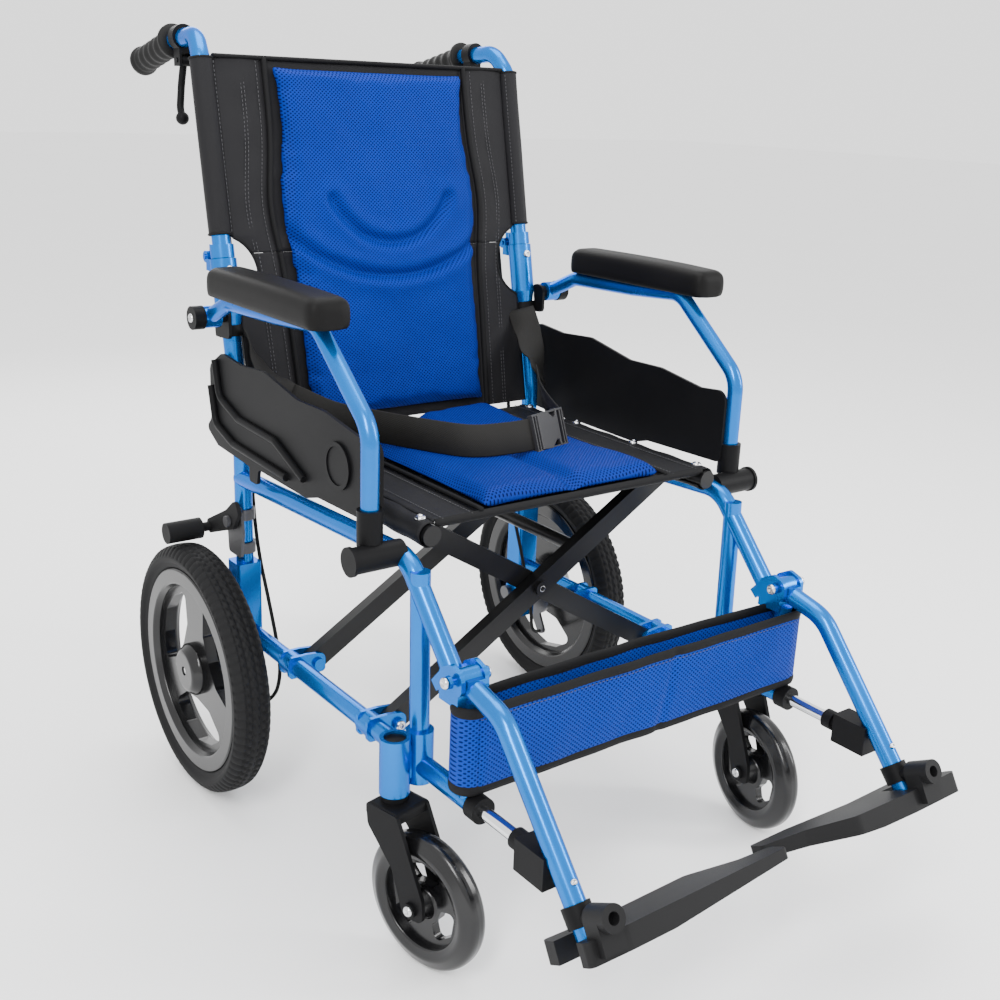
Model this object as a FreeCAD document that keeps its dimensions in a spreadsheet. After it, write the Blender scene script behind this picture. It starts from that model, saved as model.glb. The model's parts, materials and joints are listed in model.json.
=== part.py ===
import FreeCAD, Part
import math
import os
import Sketcher
from FreeCAD import Placement, Rotation, Vector

# Folding transport wheelchair. Millimetres. X is across the chair (the user's right is -X), the user
# faces -Y and Z is up from the floor. Positions are written from the caster-wheel line, and every part
# is placed CENTRE_Y further forward, so that the origin is under the middle of the chair.

os.makedirs("parts", exist_ok=True)
doc = FreeCAD.newDocument("transport_wheelchair")
dims = doc.addObject("Spreadsheet::Sheet", "Dims")

DIMENSIONS = {
    "frame_tube_od": 22.0,
    "frame_tube_bore": 18.8,
    "stay_tube_od": 21.2,
    "stay_tube_bore": 18.0,
    "post_tube_od": 20.0,
    "post_tube_bore": 17.0,
    "arm_tube_od": 19.0,
    "arm_tube_bore": 16.0,
    "axle_post_width": 32.0,
    "axle_post_bore": 27.0,
    "socket_od": 32.0,
    "brace_bar_height": 25.0,
    "brace_bar_depth": 15.0,
    "seat_rail_od": 22.0,
    "rear_tyre_od": 323.4,
    "rear_tyre_width": 48.0,
    "caster_tyre_od": 152.0,
    "caster_tyre_width": 32.0,
    "caster_housing_od": 32.6,
    "caster_housing_bore": 24.0,
    "strut_rod_od": 14.0,
    "cable_od": 5.0,
    "grip_od": 33.0,
    "shoe_od": 27.0,
    "belt_width": 38.0,
    "cloth_thickness": 4.0,
    "footplate_thickness": 22.0,
}
for row, (alias, value) in enumerate(DIMENSIONS.items(), start=1):
    dims.set(f"A{row}", alias)
    dims.set(f"B{row}", str(value))
    dims.setAlias(f"B{row}", alias)
doc.recompute()

CENTRE_Y = 248.0
SIDE = -225.0                                    # centre plane of the right side frame
X_AXIS, Y_AXIS, Z_AXIS = Vector(1, 0, 0), Vector(0, 1, 0), Vector(0, 0, 1)
SIDE_VIEW = Rotation(Y_AXIS, Z_AXIS, X_AXIS, "ZXY")   # sketch x, y, normal = chair Y, Z, X
FRONT_VIEW = Rotation(X_AXIS, Z_AXIS, -Y_AXIS, "ZXY")
nodes = {}


def set_value(obj, prop, value):
    """A text value is an expression on the dimension sheet."""
    if isinstance(value, str):
        obj.setExpression(prop, value)
    else:
        setattr(obj, prop, value)


def rounded(points, radius):
    """Straight runs and tangent arcs through the points."""
    points = [Vector(*p) for p in points]
    edges, start = [], points[0]
    for before, corner, after in zip(points, points[1:], points[2:]):
        a, b = (before - corner).normalize(), (after - corner).normalize()
        half = a.getAngle(b) / 2
        reach = radius / math.tan(half)
        bisector = (a + b).normalize()
        middle = corner + bisector * (radius / math.sin(half) - radius)
        first, last = corner + a * reach, corner + b * reach
        if (first - start).Length > 1e-4:
            edges.append(Part.LineSegment(start, first))
        edges.append(Part.Arc(first, middle, last))
        start = last
    edges.append(Part.LineSegment(start, points[-1]))
    return edges


class Node:
    """One physical piece: solids to join, tools to take away, in its own frame at the anchor."""

    def __init__(self, name, anchor):
        self.name, self.anchor = name, Vector(*anchor)
        self.adds, self.tools, self.count = [], [], 0

    def make(self, kind, tag):
        self.count += 1
        return doc.addObject(kind, f"{self.name}_{tag}_{self.count}")

    def keep(self, obj, take):
        (self.tools if take else self.adds).append(obj)
        return obj

    def rod(self, radius, start, end, take=False, tag="rod"):
        start, end = Vector(*start) - self.anchor, Vector(*end) - self.anchor
        obj = self.make("Part::Cylinder", tag)
        set_value(obj, "Radius", radius)
        obj.Height = (end - start).Length
        obj.Placement = Placement(start, Rotation(Z_AXIS, end - start))
        return self.keep(obj, take)

    def block(self, centre, size, rotation=None, take=False, tag="block"):
        obj = self.make("Part::Box", tag)
        for prop, value in zip(("Length", "Width", "Height"), size):
            setattr(obj, prop, value)
        rotation = rotation or Rotation()
        corner = rotation.multVec(Vector(*size) * -0.5)
        obj.Placement = Placement(Vector(*centre) - self.anchor + corner, rotation)
        return self.keep(obj, take)

    def bent(self, radius, points, bend, take=False, tag="tube"):
        path = self.make("Part::Feature", "path")
        edges = rounded(points, bend)
        wire = Part.Wire([e.toShape() for e in edges])
        wire.translate(-self.anchor)
        path.Shape = wire
        first, second = Vector(*points[0]), Vector(*points[1])
        ring = self.make("Part::Circle", "section")
        set_value(ring, "Radius", radius)
        ring.Placement = Placement(first - self.anchor, Rotation(Z_AXIS, second - first))
        obj = self.make("Part::Sweep", tag)
        obj.Sections = [ring]
        obj.Spine = (path, [f"Edge{i + 1}" for i in range(len(wire.Edges))])
        obj.Solid, obj.Frenet = True, False
        return self.keep(obj, take)

    def hollow(self, radius, bore, points, bend):
        """An open-ended bent tube."""
        outer = self.bent(radius, points, bend)
        inner = self.bent(bore, points, bend, take=True)
        self.adds.remove(outer), self.tools.remove(inner)
        obj = self.make("Part::Cut", "hollow_tube")
        obj.Base, obj.Tool = outer, inner
        return self.keep(obj, False)

    def sketch(self, outlines, origin, rotation):
        """Closed outlines of points; a point may carry a third number, its corner radius."""
        obj = self.make("Sketcher::SketchObject", "sketch")
        obj.Placement = Placement(Vector(*origin) - self.anchor, rotation)
        for outline in outlines:
            if len(outline) == 2 and not isinstance(outline[0], (int, float)):
                centre, radius = outline
                obj.addGeometry(Part.Circle(Vector(centre[0], centre[1], 0), Z_AXIS, radius), False)
                continue
            obj.addGeometry(corner_rounded(outline), False)
        return obj

    def plate(self, outlines, origin, rotation, thickness, take=False, tag="plate"):
        obj = self.make("Part::Extrusion", tag)
        obj.Base = self.sketch(outlines, origin, rotation)
        obj.DirMode, obj.Solid = "Normal", True
        set_value(obj, "LengthFwd", thickness)
        return self.keep(obj, take)

    def turned(self, outline, origin, rotation, axis=X_AXIS, take=False, tag="turned"):
        obj = self.make("Part::Revolution", tag)
        obj.Source = self.sketch([outline], origin, rotation)
        obj.Axis, obj.Base, obj.Angle, obj.Solid = axis, Vector(*origin) - self.anchor, 360, True
        return self.keep(obj, take)

    def soften(self, obj, radius, pick):
        """Fillet the edges that the pick test chooses."""
        doc.recompute()
        fillet = self.make("Part::Fillet", "fillet")
        fillet.Base = obj
        fillet.Edges = [(i, radius, radius) for i, e in enumerate(obj.Shape.Edges, 1) if pick(e)]
        for group in (self.adds, self.tools):
            if obj in group:
                group[group.index(obj)] = fillet
        return fillet

    def finish(self, spin=None):
        body = self.adds[0]
        for piece in self.adds[1:]:
            joined = self.make("Part::Fuse", "joined")
            joined.Base, joined.Tool, joined.Refine = body, piece, False
            body = joined
        for tool in self.tools:
            cut = self.make("Part::Cut", "cut")
            cut.Base, cut.Tool, cut.Refine = body, tool, False
            body = cut
        part = doc.addObject("Part::Compound", self.name)
        part.Links = [body]
        part.Label = self.name
        part.Placement = Placement(self.anchor - Vector(0, CENTRE_Y, 0), spin or Rotation())
        nodes[self.name] = part
        return part


def corner_rounded(outline):
    """Closed polygon as lines and arcs; points are (x, y) or (x, y, corner radius)."""
    count, cuts = len(outline), []
    for i, point in enumerate(outline):
        corner = Vector(point[0], point[1], 0)
        radius = point[2] if len(point) > 2 else 0
        before, after = outline[i - 1], outline[(i + 1) % count]
        a = (Vector(before[0], before[1], 0) - corner).normalize()
        b = (Vector(after[0], after[1], 0) - corner).normalize()
        if radius:
            half = a.getAngle(b) / 2
            reach = radius / math.tan(half)
            middle = corner + (a + b).normalize() * (radius / math.sin(half) - radius)
            cuts.append((corner + a * reach, middle, corner + b * reach))
        else:
            cuts.append((corner, None, corner))
    edges = []
    for i, (first, middle, last) in enumerate(cuts):
        if middle is not None:
            edges.append(Part.Arc(first, middle, last))
        following = cuts[(i + 1) % count][0]
        if (following - last).Length > 1e-4:
            edges.append(Part.LineSegment(last, following))
    return edges


def ribbon(run, thickness):
    """Outline of a strip along the run, as wide as a dimension on the sheet."""
    half = dims.get(thickness.split(".")[1]) / 2
    near, far = [], []
    for i, here in enumerate(run):
        before, after = run[max(i - 1, 0)], run[min(i + 1, len(run) - 1)]
        side = Vector(before[1] - after[1], after[0] - before[0], 0).normalize() * half
        near.append((here[0] - side.x, here[1] - side.y))
        far.append((here[0] + side.x, here[1] + side.y))
    return near + far[::-1]


def mirrored(name):
    """The left-hand piece of a right-hand one."""
    source = nodes[name]
    left = doc.addObject("Part::Mirroring", name[:-1] + "L")
    left.Source, left.Normal, left.Base = source, X_AXIS, Vector(0, 0, 0)
    left.Label = name[:-1] + "L"
    nodes[left.Label] = left


TUBE_R, TUBE_BORE = "Dims.frame_tube_od / 2", "Dims.frame_tube_bore / 2"
STAY_R, STAY_BORE = "Dims.stay_tube_od / 2", "Dims.stay_tube_bore / 2"
POST_R, POST_BORE = "Dims.post_tube_od / 2", "Dims.post_tube_bore / 2"
AXLE = (477.0, 161.7)                            # rear axle, Y and Z
LEAN = 0.2                                       # rearward lean of the back tubes, per unit of height


def back_y(z):
    """Centre line of the back tube."""
    return 467.0 + LEAN * max(z - 480.0, 0.0)


def on_back(z, x=SIDE, behind=0.0):
    return (x, back_y(z) + behind, z)


SEAT_X = SIDE - 0.6
SEAT_TUBE = [(SEAT_X, 470, 410), (SEAT_X, 85, 428), (SEAT_X, -2, 333)]
UPRIGHT = [(SIDE, 467, 290), (SIDE, 467, 480), on_back(660)]
FOLD = (530.0, 676.0)                            # back fold axis, Y and Z
HANGER_PIN = (-28.0, 341.0)
STEM = (-257.0, 55.0)                            # caster stem, X and Y

# ---- right side frame: bent and welded tubes, axle post, caster housing, fold socket --------------
n = Node("frame_R", (SIDE, 467, 207))
n.bent(TUBE_R, SEAT_TUBE, 45)
n.bent(TUBE_R, UPRIGHT, 60)
n.rod(TUBE_R, (SIDE, 454, 207), (SIDE, -46, 207))
n.rod(STAY_R, (SIDE, 62, 420), (SIDE, 57.2, 192), tag="front_stay")
n.rod(POST_R, (SIDE, -32, 209), (SIDE, -32, 318), tag="front_post")
n.rod(15.0, (SIDE, 57.5, 246), (SIDE, 57.5, 187), tag="sleeve")
n.block((-242, 55.6, 214), (25, 9, 38), tag="gusset")
n.rod("Dims.caster_housing_od / 2", (STEM[0], STEM[1], 183), (STEM[0], STEM[1], 247), tag="housing")
post = n.block((SIDE, 468.3, 214), (32, 32, 172), tag="axle_post")
post.setExpression("Length", "Dims.axle_post_width")
post.setExpression("Width", "Dims.axle_post_width")
n.soften(post, 3, lambda e: abs(e.tangentAt(e.FirstParameter).z) > 0.9)
n.rod("Dims.socket_od / 2", on_back(612), on_back(675.7), tag="fold_socket")
n.turned([(0, 0), (0, 12.5), (15, 16), (15, 0)], on_back(598), Rotation(Vector(0, LEAN, 1), Y_AXIS, X_AXIS, "XZY"),
         axis=Vector(0, LEAN, 1), tag="socket_taper")
for x in (SIDE - 9.7, SIDE + 9.7):
    n.rod(7.0, (x - 2.6, *FOLD), (x + 2.6, *FOLD), tag="knuckle")
    n.block((x, 520, 667), (5.2, 16, 14), tag="knuckle_lug")
n.block((SIDE - 3, -2, 331), (33, 12, 22), Rotation(X_AXIS, 42), tag="clevis_root")
n.block((SIDE - 3, -20, 320), (33, 32, 14), tag="clevis_floor")
for x in (-244.5, -216.5):
    n.plate([[(-2, 322, 3), (-4, 346, 8), (-22, 356, 8), (-41, 350, 10), (-42, 330, 10), (-22, 320, 6)]],
            (x, 0, 0), SIDE_VIEW, 5.0, tag="clevis_cheek")
n.rod(TUBE_BORE, (SEAT_X, 450, 410.94), (SEAT_X, 112, 426.74), take=True, tag="seat_tube_bore")
n.bent(TUBE_BORE, [(SIDE, 467, 306), (SIDE, 467, 480), on_back(600)], 60, take=True)
n.rod(TUBE_BORE, (SIDE, 444, 207), (SIDE, -47, 207), take=True, tag="lower_tube_bore")
n.rod(STAY_BORE, (SIDE, 61.55, 400), (SIDE, 57.82, 223), take=True, tag="stay_bore")
n.rod(POST_BORE, (SIDE, -32, 223), (SIDE, -32, 308), take=True, tag="post_bore")
hollow = n.block((SIDE, 468.3, 205), (27, 27, 160), take=True, tag="axle_post_bore")
hollow.setExpression("Length", "Dims.axle_post_bore")
hollow.setExpression("Width", "Dims.axle_post_bore")
n.rod("Dims.caster_housing_bore / 2", (STEM[0], STEM[1], 180), (STEM[0], STEM[1], 250), take=True)
n.rod(6.0, (-245, *AXLE), (-205, *AXLE), take=True)
n.rod(3.05, (-245, *FOLD), (-205, *FOLD), take=True)
n.rod(4.05, (-250, *HANGER_PIN), (-205, *HANGER_PIN), take=True)
n.finish()

# ---- rear axle: bolt, nuts, spacer and the brake plate that it carries -----------------------------
n = Node("rear_axle_R", (-255, *AXLE))
n.rod(6.0, (-304, *AXLE), (-203, *AXLE), tag="bolt")
n.rod(10.0, (-208.8, *AXLE), (-202, *AXLE), tag="inner_nut")
n.rod(9.5, (-304, *AXLE), (-298.5, *AXLE), tag="outer_nut")
n.rod(13.0, (-254.5, *AXLE), (-241.1, *AXLE), tag="spacer")
n.rod(44.0, (-260.5, *AXLE), (-254.5, *AXLE), tag="brake_plate")
n.plate([[(470, 150, 4), (441, 96, 6), (456, 90, 6), (492, 140, 4)]], (-258, 0, 0), SIDE_VIEW, 3.5,
        tag="brake_arm")
n.finish()

# ---- cross-brace brackets on the lower tubes -------------------------------------------------------
BRACE_Y = {"R": (154.0, 338.0), "L": (170.0, 322.0)}    # bar centre planes of each brace
PIVOT_X, PIVOT_Z, TOP_Z = 198.0, 206.0, 446.0
for side, sign in (("R", -1), ("L", 1)):
    n = Node(f"brace_bracket_{side}", (sign * PIVOT_X, 246, PIVOT_Z))
    for y in BRACE_Y[side]:
        for edge in (y - 12.6, y + 7.9):
            n.plate([[(sign * 188, 194, 5), (sign * 188, 218, 9), (sign * 212, 221, 4), (sign * 238, 221, 6),
                      (sign * 238, 193, 6)][::-sign]],
                    (0, edge + 4.7, 0), FRONT_VIEW, 4.7, tag="cheek")
        n.rod(4.0, (sign * PIVOT_X, y - 15.5, PIVOT_Z), (sign * PIVOT_X, y + 15.5, PIVOT_Z), tag="bolt")
        n.rod(7.0, (sign * PIVOT_X, y - 17, PIVOT_Z), (sign * PIVOT_X, y - 12.6, PIVOT_Z), tag="bolt_head")
        n.rod(7.0, (sign * PIVOT_X, y + 12.6, PIVOT_Z), (sign * PIVOT_X, y + 17, PIVOT_Z), tag="nut")
        n.rod(14.0, (sign * 225, y - 12.6, 207), (sign * 225, y + 12.6, 207), tag="saddle")
    n.rod(11.0, (sign * 225, 100, 207), (sign * 225, 400, 207), take=True)
    n.finish()

# ---- cross braces, each with its front and rear bar and its seat rail ------------------------------
RISE = TOP_Z - PIVOT_Z
SPAN = math.hypot(2 * PIVOT_X, RISE)
TILT = math.degrees(math.atan2(RISE, 2 * PIVOT_X))
for name, side, sign in (("brace_to_left_rail", "R", 1), ("brace_to_right_rail", "L", -1)):
    n = Node(name, (-sign * PIVOT_X, 246, PIVOT_Z))
    spin = Rotation(Y_AXIS, -sign * TILT)
    for y in BRACE_Y[side]:
        bar = n.block((0, y, PIVOT_Z + RISE / 2), (SPAN, 15, 25), spin, tag="bar")
        bar.setExpression("Width", "Dims.brace_bar_depth")
        bar.setExpression("Height", "Dims.brace_bar_height")
        n.rod(12.5, (-sign * PIVOT_X, y - 7.5, PIVOT_Z), (-sign * PIVOT_X, y + 7.5, PIVOT_Z), tag="bar_end")
    n.rod("Dims.seat_rail_od / 2", (sign * PIVOT_X, 82, TOP_Z), (sign * PIVOT_X, 444, TOP_Z), tag="seat_rail")
    inner, outer = sorted(BRACE_Y[side])
    n.rod(8.0, (sign * 60, inner, PIVOT_Z + RISE / 2 + 60 * RISE / (2 * PIVOT_X)),
          (sign * 60, outer, PIVOT_Z + RISE / 2 + 60 * RISE / (2 * PIVOT_X)), tag="cross_tube")
    for y in BRACE_Y[side]:
        n.block((0, y, PIVOT_Z + RISE / 2), (SPAN - 60, 11, 21), spin, take=True, tag="bar_bore")
        n.rod(4.05, (-sign * PIVOT_X, y - 9, PIVOT_Z), (-sign * PIVOT_X, y + 9, PIVOT_Z), take=True)
    if side == "R":
        for y, out in ((154.0, -1), (338.0, 1)):
            end = y - out * 25.5
            n.rod(6.0, (0, y, 326), (0, end, 326), tag="centre_bolt")
            n.rod(9.0, (0, y + out * 7.5, 326), (0, y + out * 12.5, 326), tag="centre_bolt_head")
            n.rod(9.0, (0, y - out * 24.0, 326), (0, y - out * 29.0, 326), tag="centre_nut")
    else:
        for y in BRACE_Y[side]:
            n.rod(9.0, (0, y - 7.5, 326), (0, y + 7.5, 326), tag="bush")
            n.rod(6.05, (0, y - 9, 326), (0, y + 9, 326), take=True)
    n.rod(9.0, (sign * PIVOT_X, 84, TOP_Z), (sign * PIVOT_X, 442, TOP_Z), take=True, tag="rail_bore")
    n.finish()

# ---- armrest latch barrel and armrest pivot on the frame -------------------------------------------
n = Node("arm_latch_R", (-258, 97, 430))
n.rod(14.0, (-226, 97, 430), (-284, 97, 430), tag="barrel")
n.rod(15.5, (-284, 97, 430), (-288, 97, 430), tag="cap")
n.bent(TUBE_R, SEAT_TUBE, 45, take=True)
n.finish()

ARM_PIVOT = (474.0, 613.0)
n = Node("arm_pivot_R", (-250, *ARM_PIVOT))
n.rod(14.0, on_back(584), on_back(597.5), tag="clamp")
n.plate([[(462, 586, 6), (462, 622, 10), (486, 625, 10), (488, 597, 4), (502, 597, 3), (500, 584, 3)]],
        (-240.3, 0, 0), SIDE_VIEW, 4.0, tag="lug")
n.rod(8.0, (-275, *ARM_PIVOT), (-240, *ARM_PIVOT), tag="pin")
n.rod(14.0, (-282, *ARM_PIVOT), (-268.3, *ARM_PIVOT), tag="knob")
n.bent(TUBE_R, UPRIGHT, 60, take=True)
n.rod("Dims.socket_od / 2", on_back(598), on_back(675.7), take=True)
n.finish()

# ---- armrest: tube, foot, pad and side panel -------------------------------------------------------
ARM = [(-258, 465, 617.0), (-258, 418, 638), (-258, 300, 641), (-258, 212, 647), (-258, 106, 560), (-258, 106, 456)]
ARM_R, ARM_BORE = "Dims.arm_tube_od / 2", "Dims.arm_tube_bore / 2"
n = Node("arm_tube_R", (-258, *ARM_PIVOT))
n.hollow(ARM_R, ARM_BORE, ARM, 38)
n.rod(13.0, (-268.0, *ARM_PIVOT), (-248.0, *ARM_PIVOT), tag="eye")
n.rod(8.05, (-270, *ARM_PIVOT), (-246, *ARM_PIVOT), take=True)
n.finish()

n = Node("arm_foot_R", (-258, 106, 456))
n.rod(13.5, (-258, 106, 440), (-258, 106, 478), tag="cup")
n.rod(9.5, (-258, 106, 456), (-258, 106, 480), take=True)
n.rod(14.3, (-230, 97, 430), (-290, 97, 430), take=True)
n.finish()

n = Node("arm_pad_R", (-266, 290, 664))
pad = n.block((-266, 291, 664.5), (50, 254, 33), tag="pad")
n.soften(pad, 12, lambda e: e.CenterOfMass.z > 5 or abs(e.tangentAt(e.FirstParameter).z) > 0.9)
n.bent(ARM_R, ARM, 38, take=True)
n.finish()

PANEL = [(106, 455, 8), (106, 545, 14), (150, 541, 10), (222, 552, 30), (281, 551, 20), (361, 567, 30),
         (421, 563, 20), (473, 568, 14), (508, 548, 14), (508, 480, 8), (522, 466, 6), (491, 449, 8),
         (404, 444, 4), (404, 426, 4), (384, 426, 4), (380, 446, 6), (262, 444, 8), (235, 452, 8)]
n = Node("side_panel_R", (-246, 300, 500))
n.plate([PANEL], (-246, 0, 0), SIDE_VIEW, 4.0, tag="sheet")
for fin in ([(487, 558), (476, 514), (424, 497), (330, 493), (262, 466)],
            [(500, 524), (489, 478), (440, 463), (304, 457)]):
    n.bent(4.5, [(-248.5, y, z) for y, z in fin], 18, tag="fin")
n.rod(26.0, (-249, 190, 500), (-245, 190, 500), tag="boss")
n.rod(21.0, (-251, 190, 500), (-247.5, 190, 500), take=True)
n.rod(ARM_R, (-258, 106, 400), (-258, 106, 560), take=True)
n.rod(13.6, (-258, 106, 430), (-258, 106, 479), take=True)
n.finish()

# ---- folding upper back tube with push handle ------------------------------------------------------
BACK_TOP = [on_back(676.4), on_back(905), (-220, 575, 930), (-217, 640, 926), (-215, 747, 902)]
n = Node("back_tube_R", (SIDE, *FOLD))
n.bent(TUBE_R, BACK_TOP, 30)
n.rod(14.5, on_back(676.4), on_back(692), tag="collar")
n.rod(7.0, (SIDE - 6.7, *FOLD), (SIDE + 6.7, *FOLD), tag="knuckle")
n.block((SIDE, 522, 683.5), (13.4, 16, 14), tag="knuckle_lug")
n.rod(3.0, (SIDE - 14, *FOLD), (SIDE + 14, *FOLD), tag="fold_pin")
n.bent(TUBE_BORE, [on_back(676), on_back(905), (-220, 575, 930), (-217, 640, 926), (-215, 745, 902.4)], 30,
       take=True)
n.finish()

n = Node("grip_R", (-216, 690, 914))
GRIP_DIR = (Vector(-215, 752, 900.9) - Vector(-217, 640, 926)).normalize()
start = Vector(-217, 640, 926)


def along(distance):
    return tuple(start + GRIP_DIR * distance)


n.rod("Dims.grip_od / 2", along(6), along(116), tag="grip")
for distance, radius in ((4, 21.0), (112, 18.5)):
    n.rod(radius, along(distance), along(distance + 7), tag="flange")
n.bent(TUBE_R, BACK_TOP, 30, take=True)
n.finish()

# ---- hand brake lever on its clamp -----------------------------------------------------------------
LEVER_PIN = (-216.0, 622.0, 902.0)
n = Node("lever_clamp_R", LEVER_PIN)
n.rod(15.0, (-217.6, 614, 929), (-217.1, 630, 927.7), tag="clamp")
for x in (-224.0, -209.0):
    n.block((x + 0.5, 622, 906), (3.0, 18, 22), tag="cheek")
n.block((-216.5, 617, 914.5), (17, 8, 9), tag="web")
n.rod(3.0, (-226, 622, 902), (-205, 622, 902), tag="pin")
n.bent(TUBE_R, BACK_TOP, 30, take=True)
n.finish()

n = Node("hand_lever_R", LEVER_PIN)
n.rod(7.0, (-221.3, 622, 902), (-210.2, 622, 902), tag="boss")
n.bent(4.5, [(-215.7, 624, 898), (-216, 632, 874), (-220, 629, 846), (-221, 622, 836)], 20, tag="lever")
ball = n.make("Part::Sphere", "bulb")
ball.Radius = 8.0
ball.Placement = Placement(Vector(-221, 621, 834) - n.anchor, Rotation())
n.adds.append(ball)
n.rod(3.05, (-226, 622, 902), (-205, 622, 902), take=True)
n.finish()

# ---- brake cable, one run above the fold and one below it ------------------------------------------
CABLE_R = "Dims.cable_od / 2"
n = Node("brake_cable_upper_R", (-205, 560, 800))
n.bent(CABLE_R, [(-201, 618, 898), (-200, 608, 868), (-203, 560, 815), (-204, 533, 700), (-204, 528.5, 677)], 26)
n.finish()
n = Node("brake_cable_lower_R", (-205, 480, 400))
n.bent(CABLE_R, [(-204, 528.2, 675.4), (-204, 487, 480), (-204, 483, 330), (-203, 436, 225), (-203, 412, 158),
                 (-214, 422, 112), (-252, 450, 97)], 24)
n.finish()

# ---- parking brake: clamp bracket and the arm with its shoe ----------------------------------------
BRAKE_PIN = (457.0, 360.0)
n = Node("brake_bracket_R", (-239, *BRAKE_PIN))
for z in (320, 364):
    n.rod(14.0, (SIDE, 467, z - 7), (SIDE, 467, z + 7), tag="clamp")
n.plate([[(446, 312, 5), (440, 345, 8), (444, 378, 8), (470, 378, 6), (482, 340, 6), (480, 312, 5)]],
        (-240.5, 0, 0), SIDE_VIEW, 4.0, tag="plate")
n.rod(4.0, (-252, *BRAKE_PIN), (-238, *BRAKE_PIN), tag="pin")
n.rod(7.0, (-255, *BRAKE_PIN), (-250.2, *BRAKE_PIN), tag="pin_head")
n.rod(TUBE_R, (SIDE, 467, 300), (SIDE, 467, 390), take=True)
n.finish()

SHOE = (518.0, 335.0)
n = Node("brake_shoe_R", (-247, *BRAKE_PIN))
n.plate([[(447, 352, 6), (430, 376, 7), (440, 392, 7), (466, 372, 8), (526, 342, 7), (520, 325, 7)]],
        (-249.8, 0, 0), SIDE_VIEW, 5.0, tag="arm")
n.rod(6.0, (-262, *SHOE), (-246, *SHOE), tag="stub")
n.rod("Dims.shoe_od / 2", (-308, *SHOE), (-262, *SHOE), tag="shoe")
n.rod(4.05, (-252, *BRAKE_PIN), (-240, *BRAKE_PIN), take=True)
n.finish()

# ---- rear wheel: moulded three-spoke wheel and tyre ------------------------------------------------
n = Node("rear_rim_R", (-285, *AXLE))
hub = (-285.0, *AXLE)
wheel_view = Rotation(X_AXIS, Y_AXIS, Z_AXIS, "XYZ")
n.turned([(-19, 113, 3), (-19, 133, 3), (19, 133, 3), (19, 113, 3), (12, 108, 4), (-12, 108, 4)], hub, wheel_view)
n.turned([(-24, 0), (-24, 26, 6), (-14, 34, 8), (14, 34, 8), (22.5, 28, 4), (22.5, 0)], hub, wheel_view)
spokes = n.plate([((0, 0), 112)], (-292, *AXLE), SIDE_VIEW, 14.0, tag="spoke_disc")
for k in range(3):
    a = math.radians(30 + 120 * k)
    window = []
    for radius, spread in ((101, -44), (101, -22), (103, 0), (101, 22), (101, 44), (58, 36), (43, 0), (58, -36)):
        t = a + math.radians(spread)
        window.append((radius * math.cos(t), radius * math.sin(t), 9))
    n.plate([window], (-296, *AXLE), SIDE_VIEW, 22.0, take=True, tag="window")
n.rod(6.05, (-310, *AXLE), (-260, *AXLE), take=True)
n.rod(12.0, (-306.5, *AXLE), (-297.8, *AXLE), take=True)
n.finish()

n = Node("rear_tyre_R", (-285, *AXLE))
n.turned([(-17, 133.05), (-19, 139, 4), (-24, 146, 7), (-15, 160.5, 9), (-5, 161.7, 9), (5, 161.7, 9), (15, 160.5, 9),
          (24, 146, 7), (19, 139, 4), (17, 133.05)], hub, wheel_view)
n.finish()

# ---- caster fork and wheel; each pair stands at the swivel angle it was left at --------------------
CASTER = (-257.0, 5.0, 76.0)
for side, sign, angle in (("R", 1, 12.6), ("L", -1, -8.8)):
    stem = Vector(sign * STEM[0], STEM[1], 0)
    spin = Rotation(Z_AXIS, angle)
    n = Node(f"caster_fork_{side}", (stem.x, stem.y, 170))
    cx, cy, cz = stem.x, CASTER[1], CASTER[2]
    n.rod(8.0, (cx, 55, 168), (cx, 55, 244), tag="stem")
    for z0, z1 in ((184, 194), (234, 244)):
        n.rod(11.95, (cx, 55, z0), (cx, 55, z1), tag="bearing")
    n.rod(14.5, (cx, 55, 174), (cx, 55, 182.6), tag="race")
    crown = n.block((cx, 50, 169), (48, 44, 12), tag="crown")
    n.soften(crown, 4, lambda e: e.CenterOfMass.z > 3)
    for x in (cx - 24.0, cx + 19.5):
        n.plate([[(72, 174, 4), (28, 174, 4), (-10, 92, 10), (-12, 66, 8), (16, 62, 10), (34, 112, 20),
                  (70, 150, 12)]], (x, 0, 0), SIDE_VIEW, 4.5, tag="leg")
    n.rod(5.0, (cx - 27, cy, cz), (cx + 27, cy, cz), tag="axle")
    for x in (cx - 28, cx + 24):
        n.rod(8.0, (x, cy, cz), (x + 4, cy, cz), tag="nut")
    n.finish(spin)
    n = Node(f"caster_wheel_{side}", (stem.x, stem.y, 170))
    n.turned([(-12, 50, 3), (-16, 60, 8), (-9, 74.5, 8), (-3, 76, 6), (3, 76, 6), (9, 74.5, 8), (16, 60, 8), (12, 50, 3)],
             (cx, cy, cz), wheel_view, tag="tyre")
    n.turned([(-18, 0), (-18, 13, 2), (-5, 18, 4), (-5, 52), (5, 52), (5, 18, 4), (18, 13, 2), (18, 0)],
             (cx, cy, cz), wheel_view, tag="web")
    for k in range(3):
        a = math.radians(90 + 120 * k)
        hole = [(r * math.cos(a + math.radians(s)), r * math.sin(a + math.radians(s)), c)
                for r, s, c in ((44, -36, 6), (46, 0, 0), (44, 36, 6), (25, 30, 5), (24, 0, 0), (25, -30, 5))]
        n.plate([hole], (cx - 8, cy, cz), SIDE_VIEW, 16.0, take=True, tag="web_hole")
    n.rod(5.05, (cx - 20, cy, cz), (cx + 20, cy, cz), take=True)
    n.finish(spin)

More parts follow.
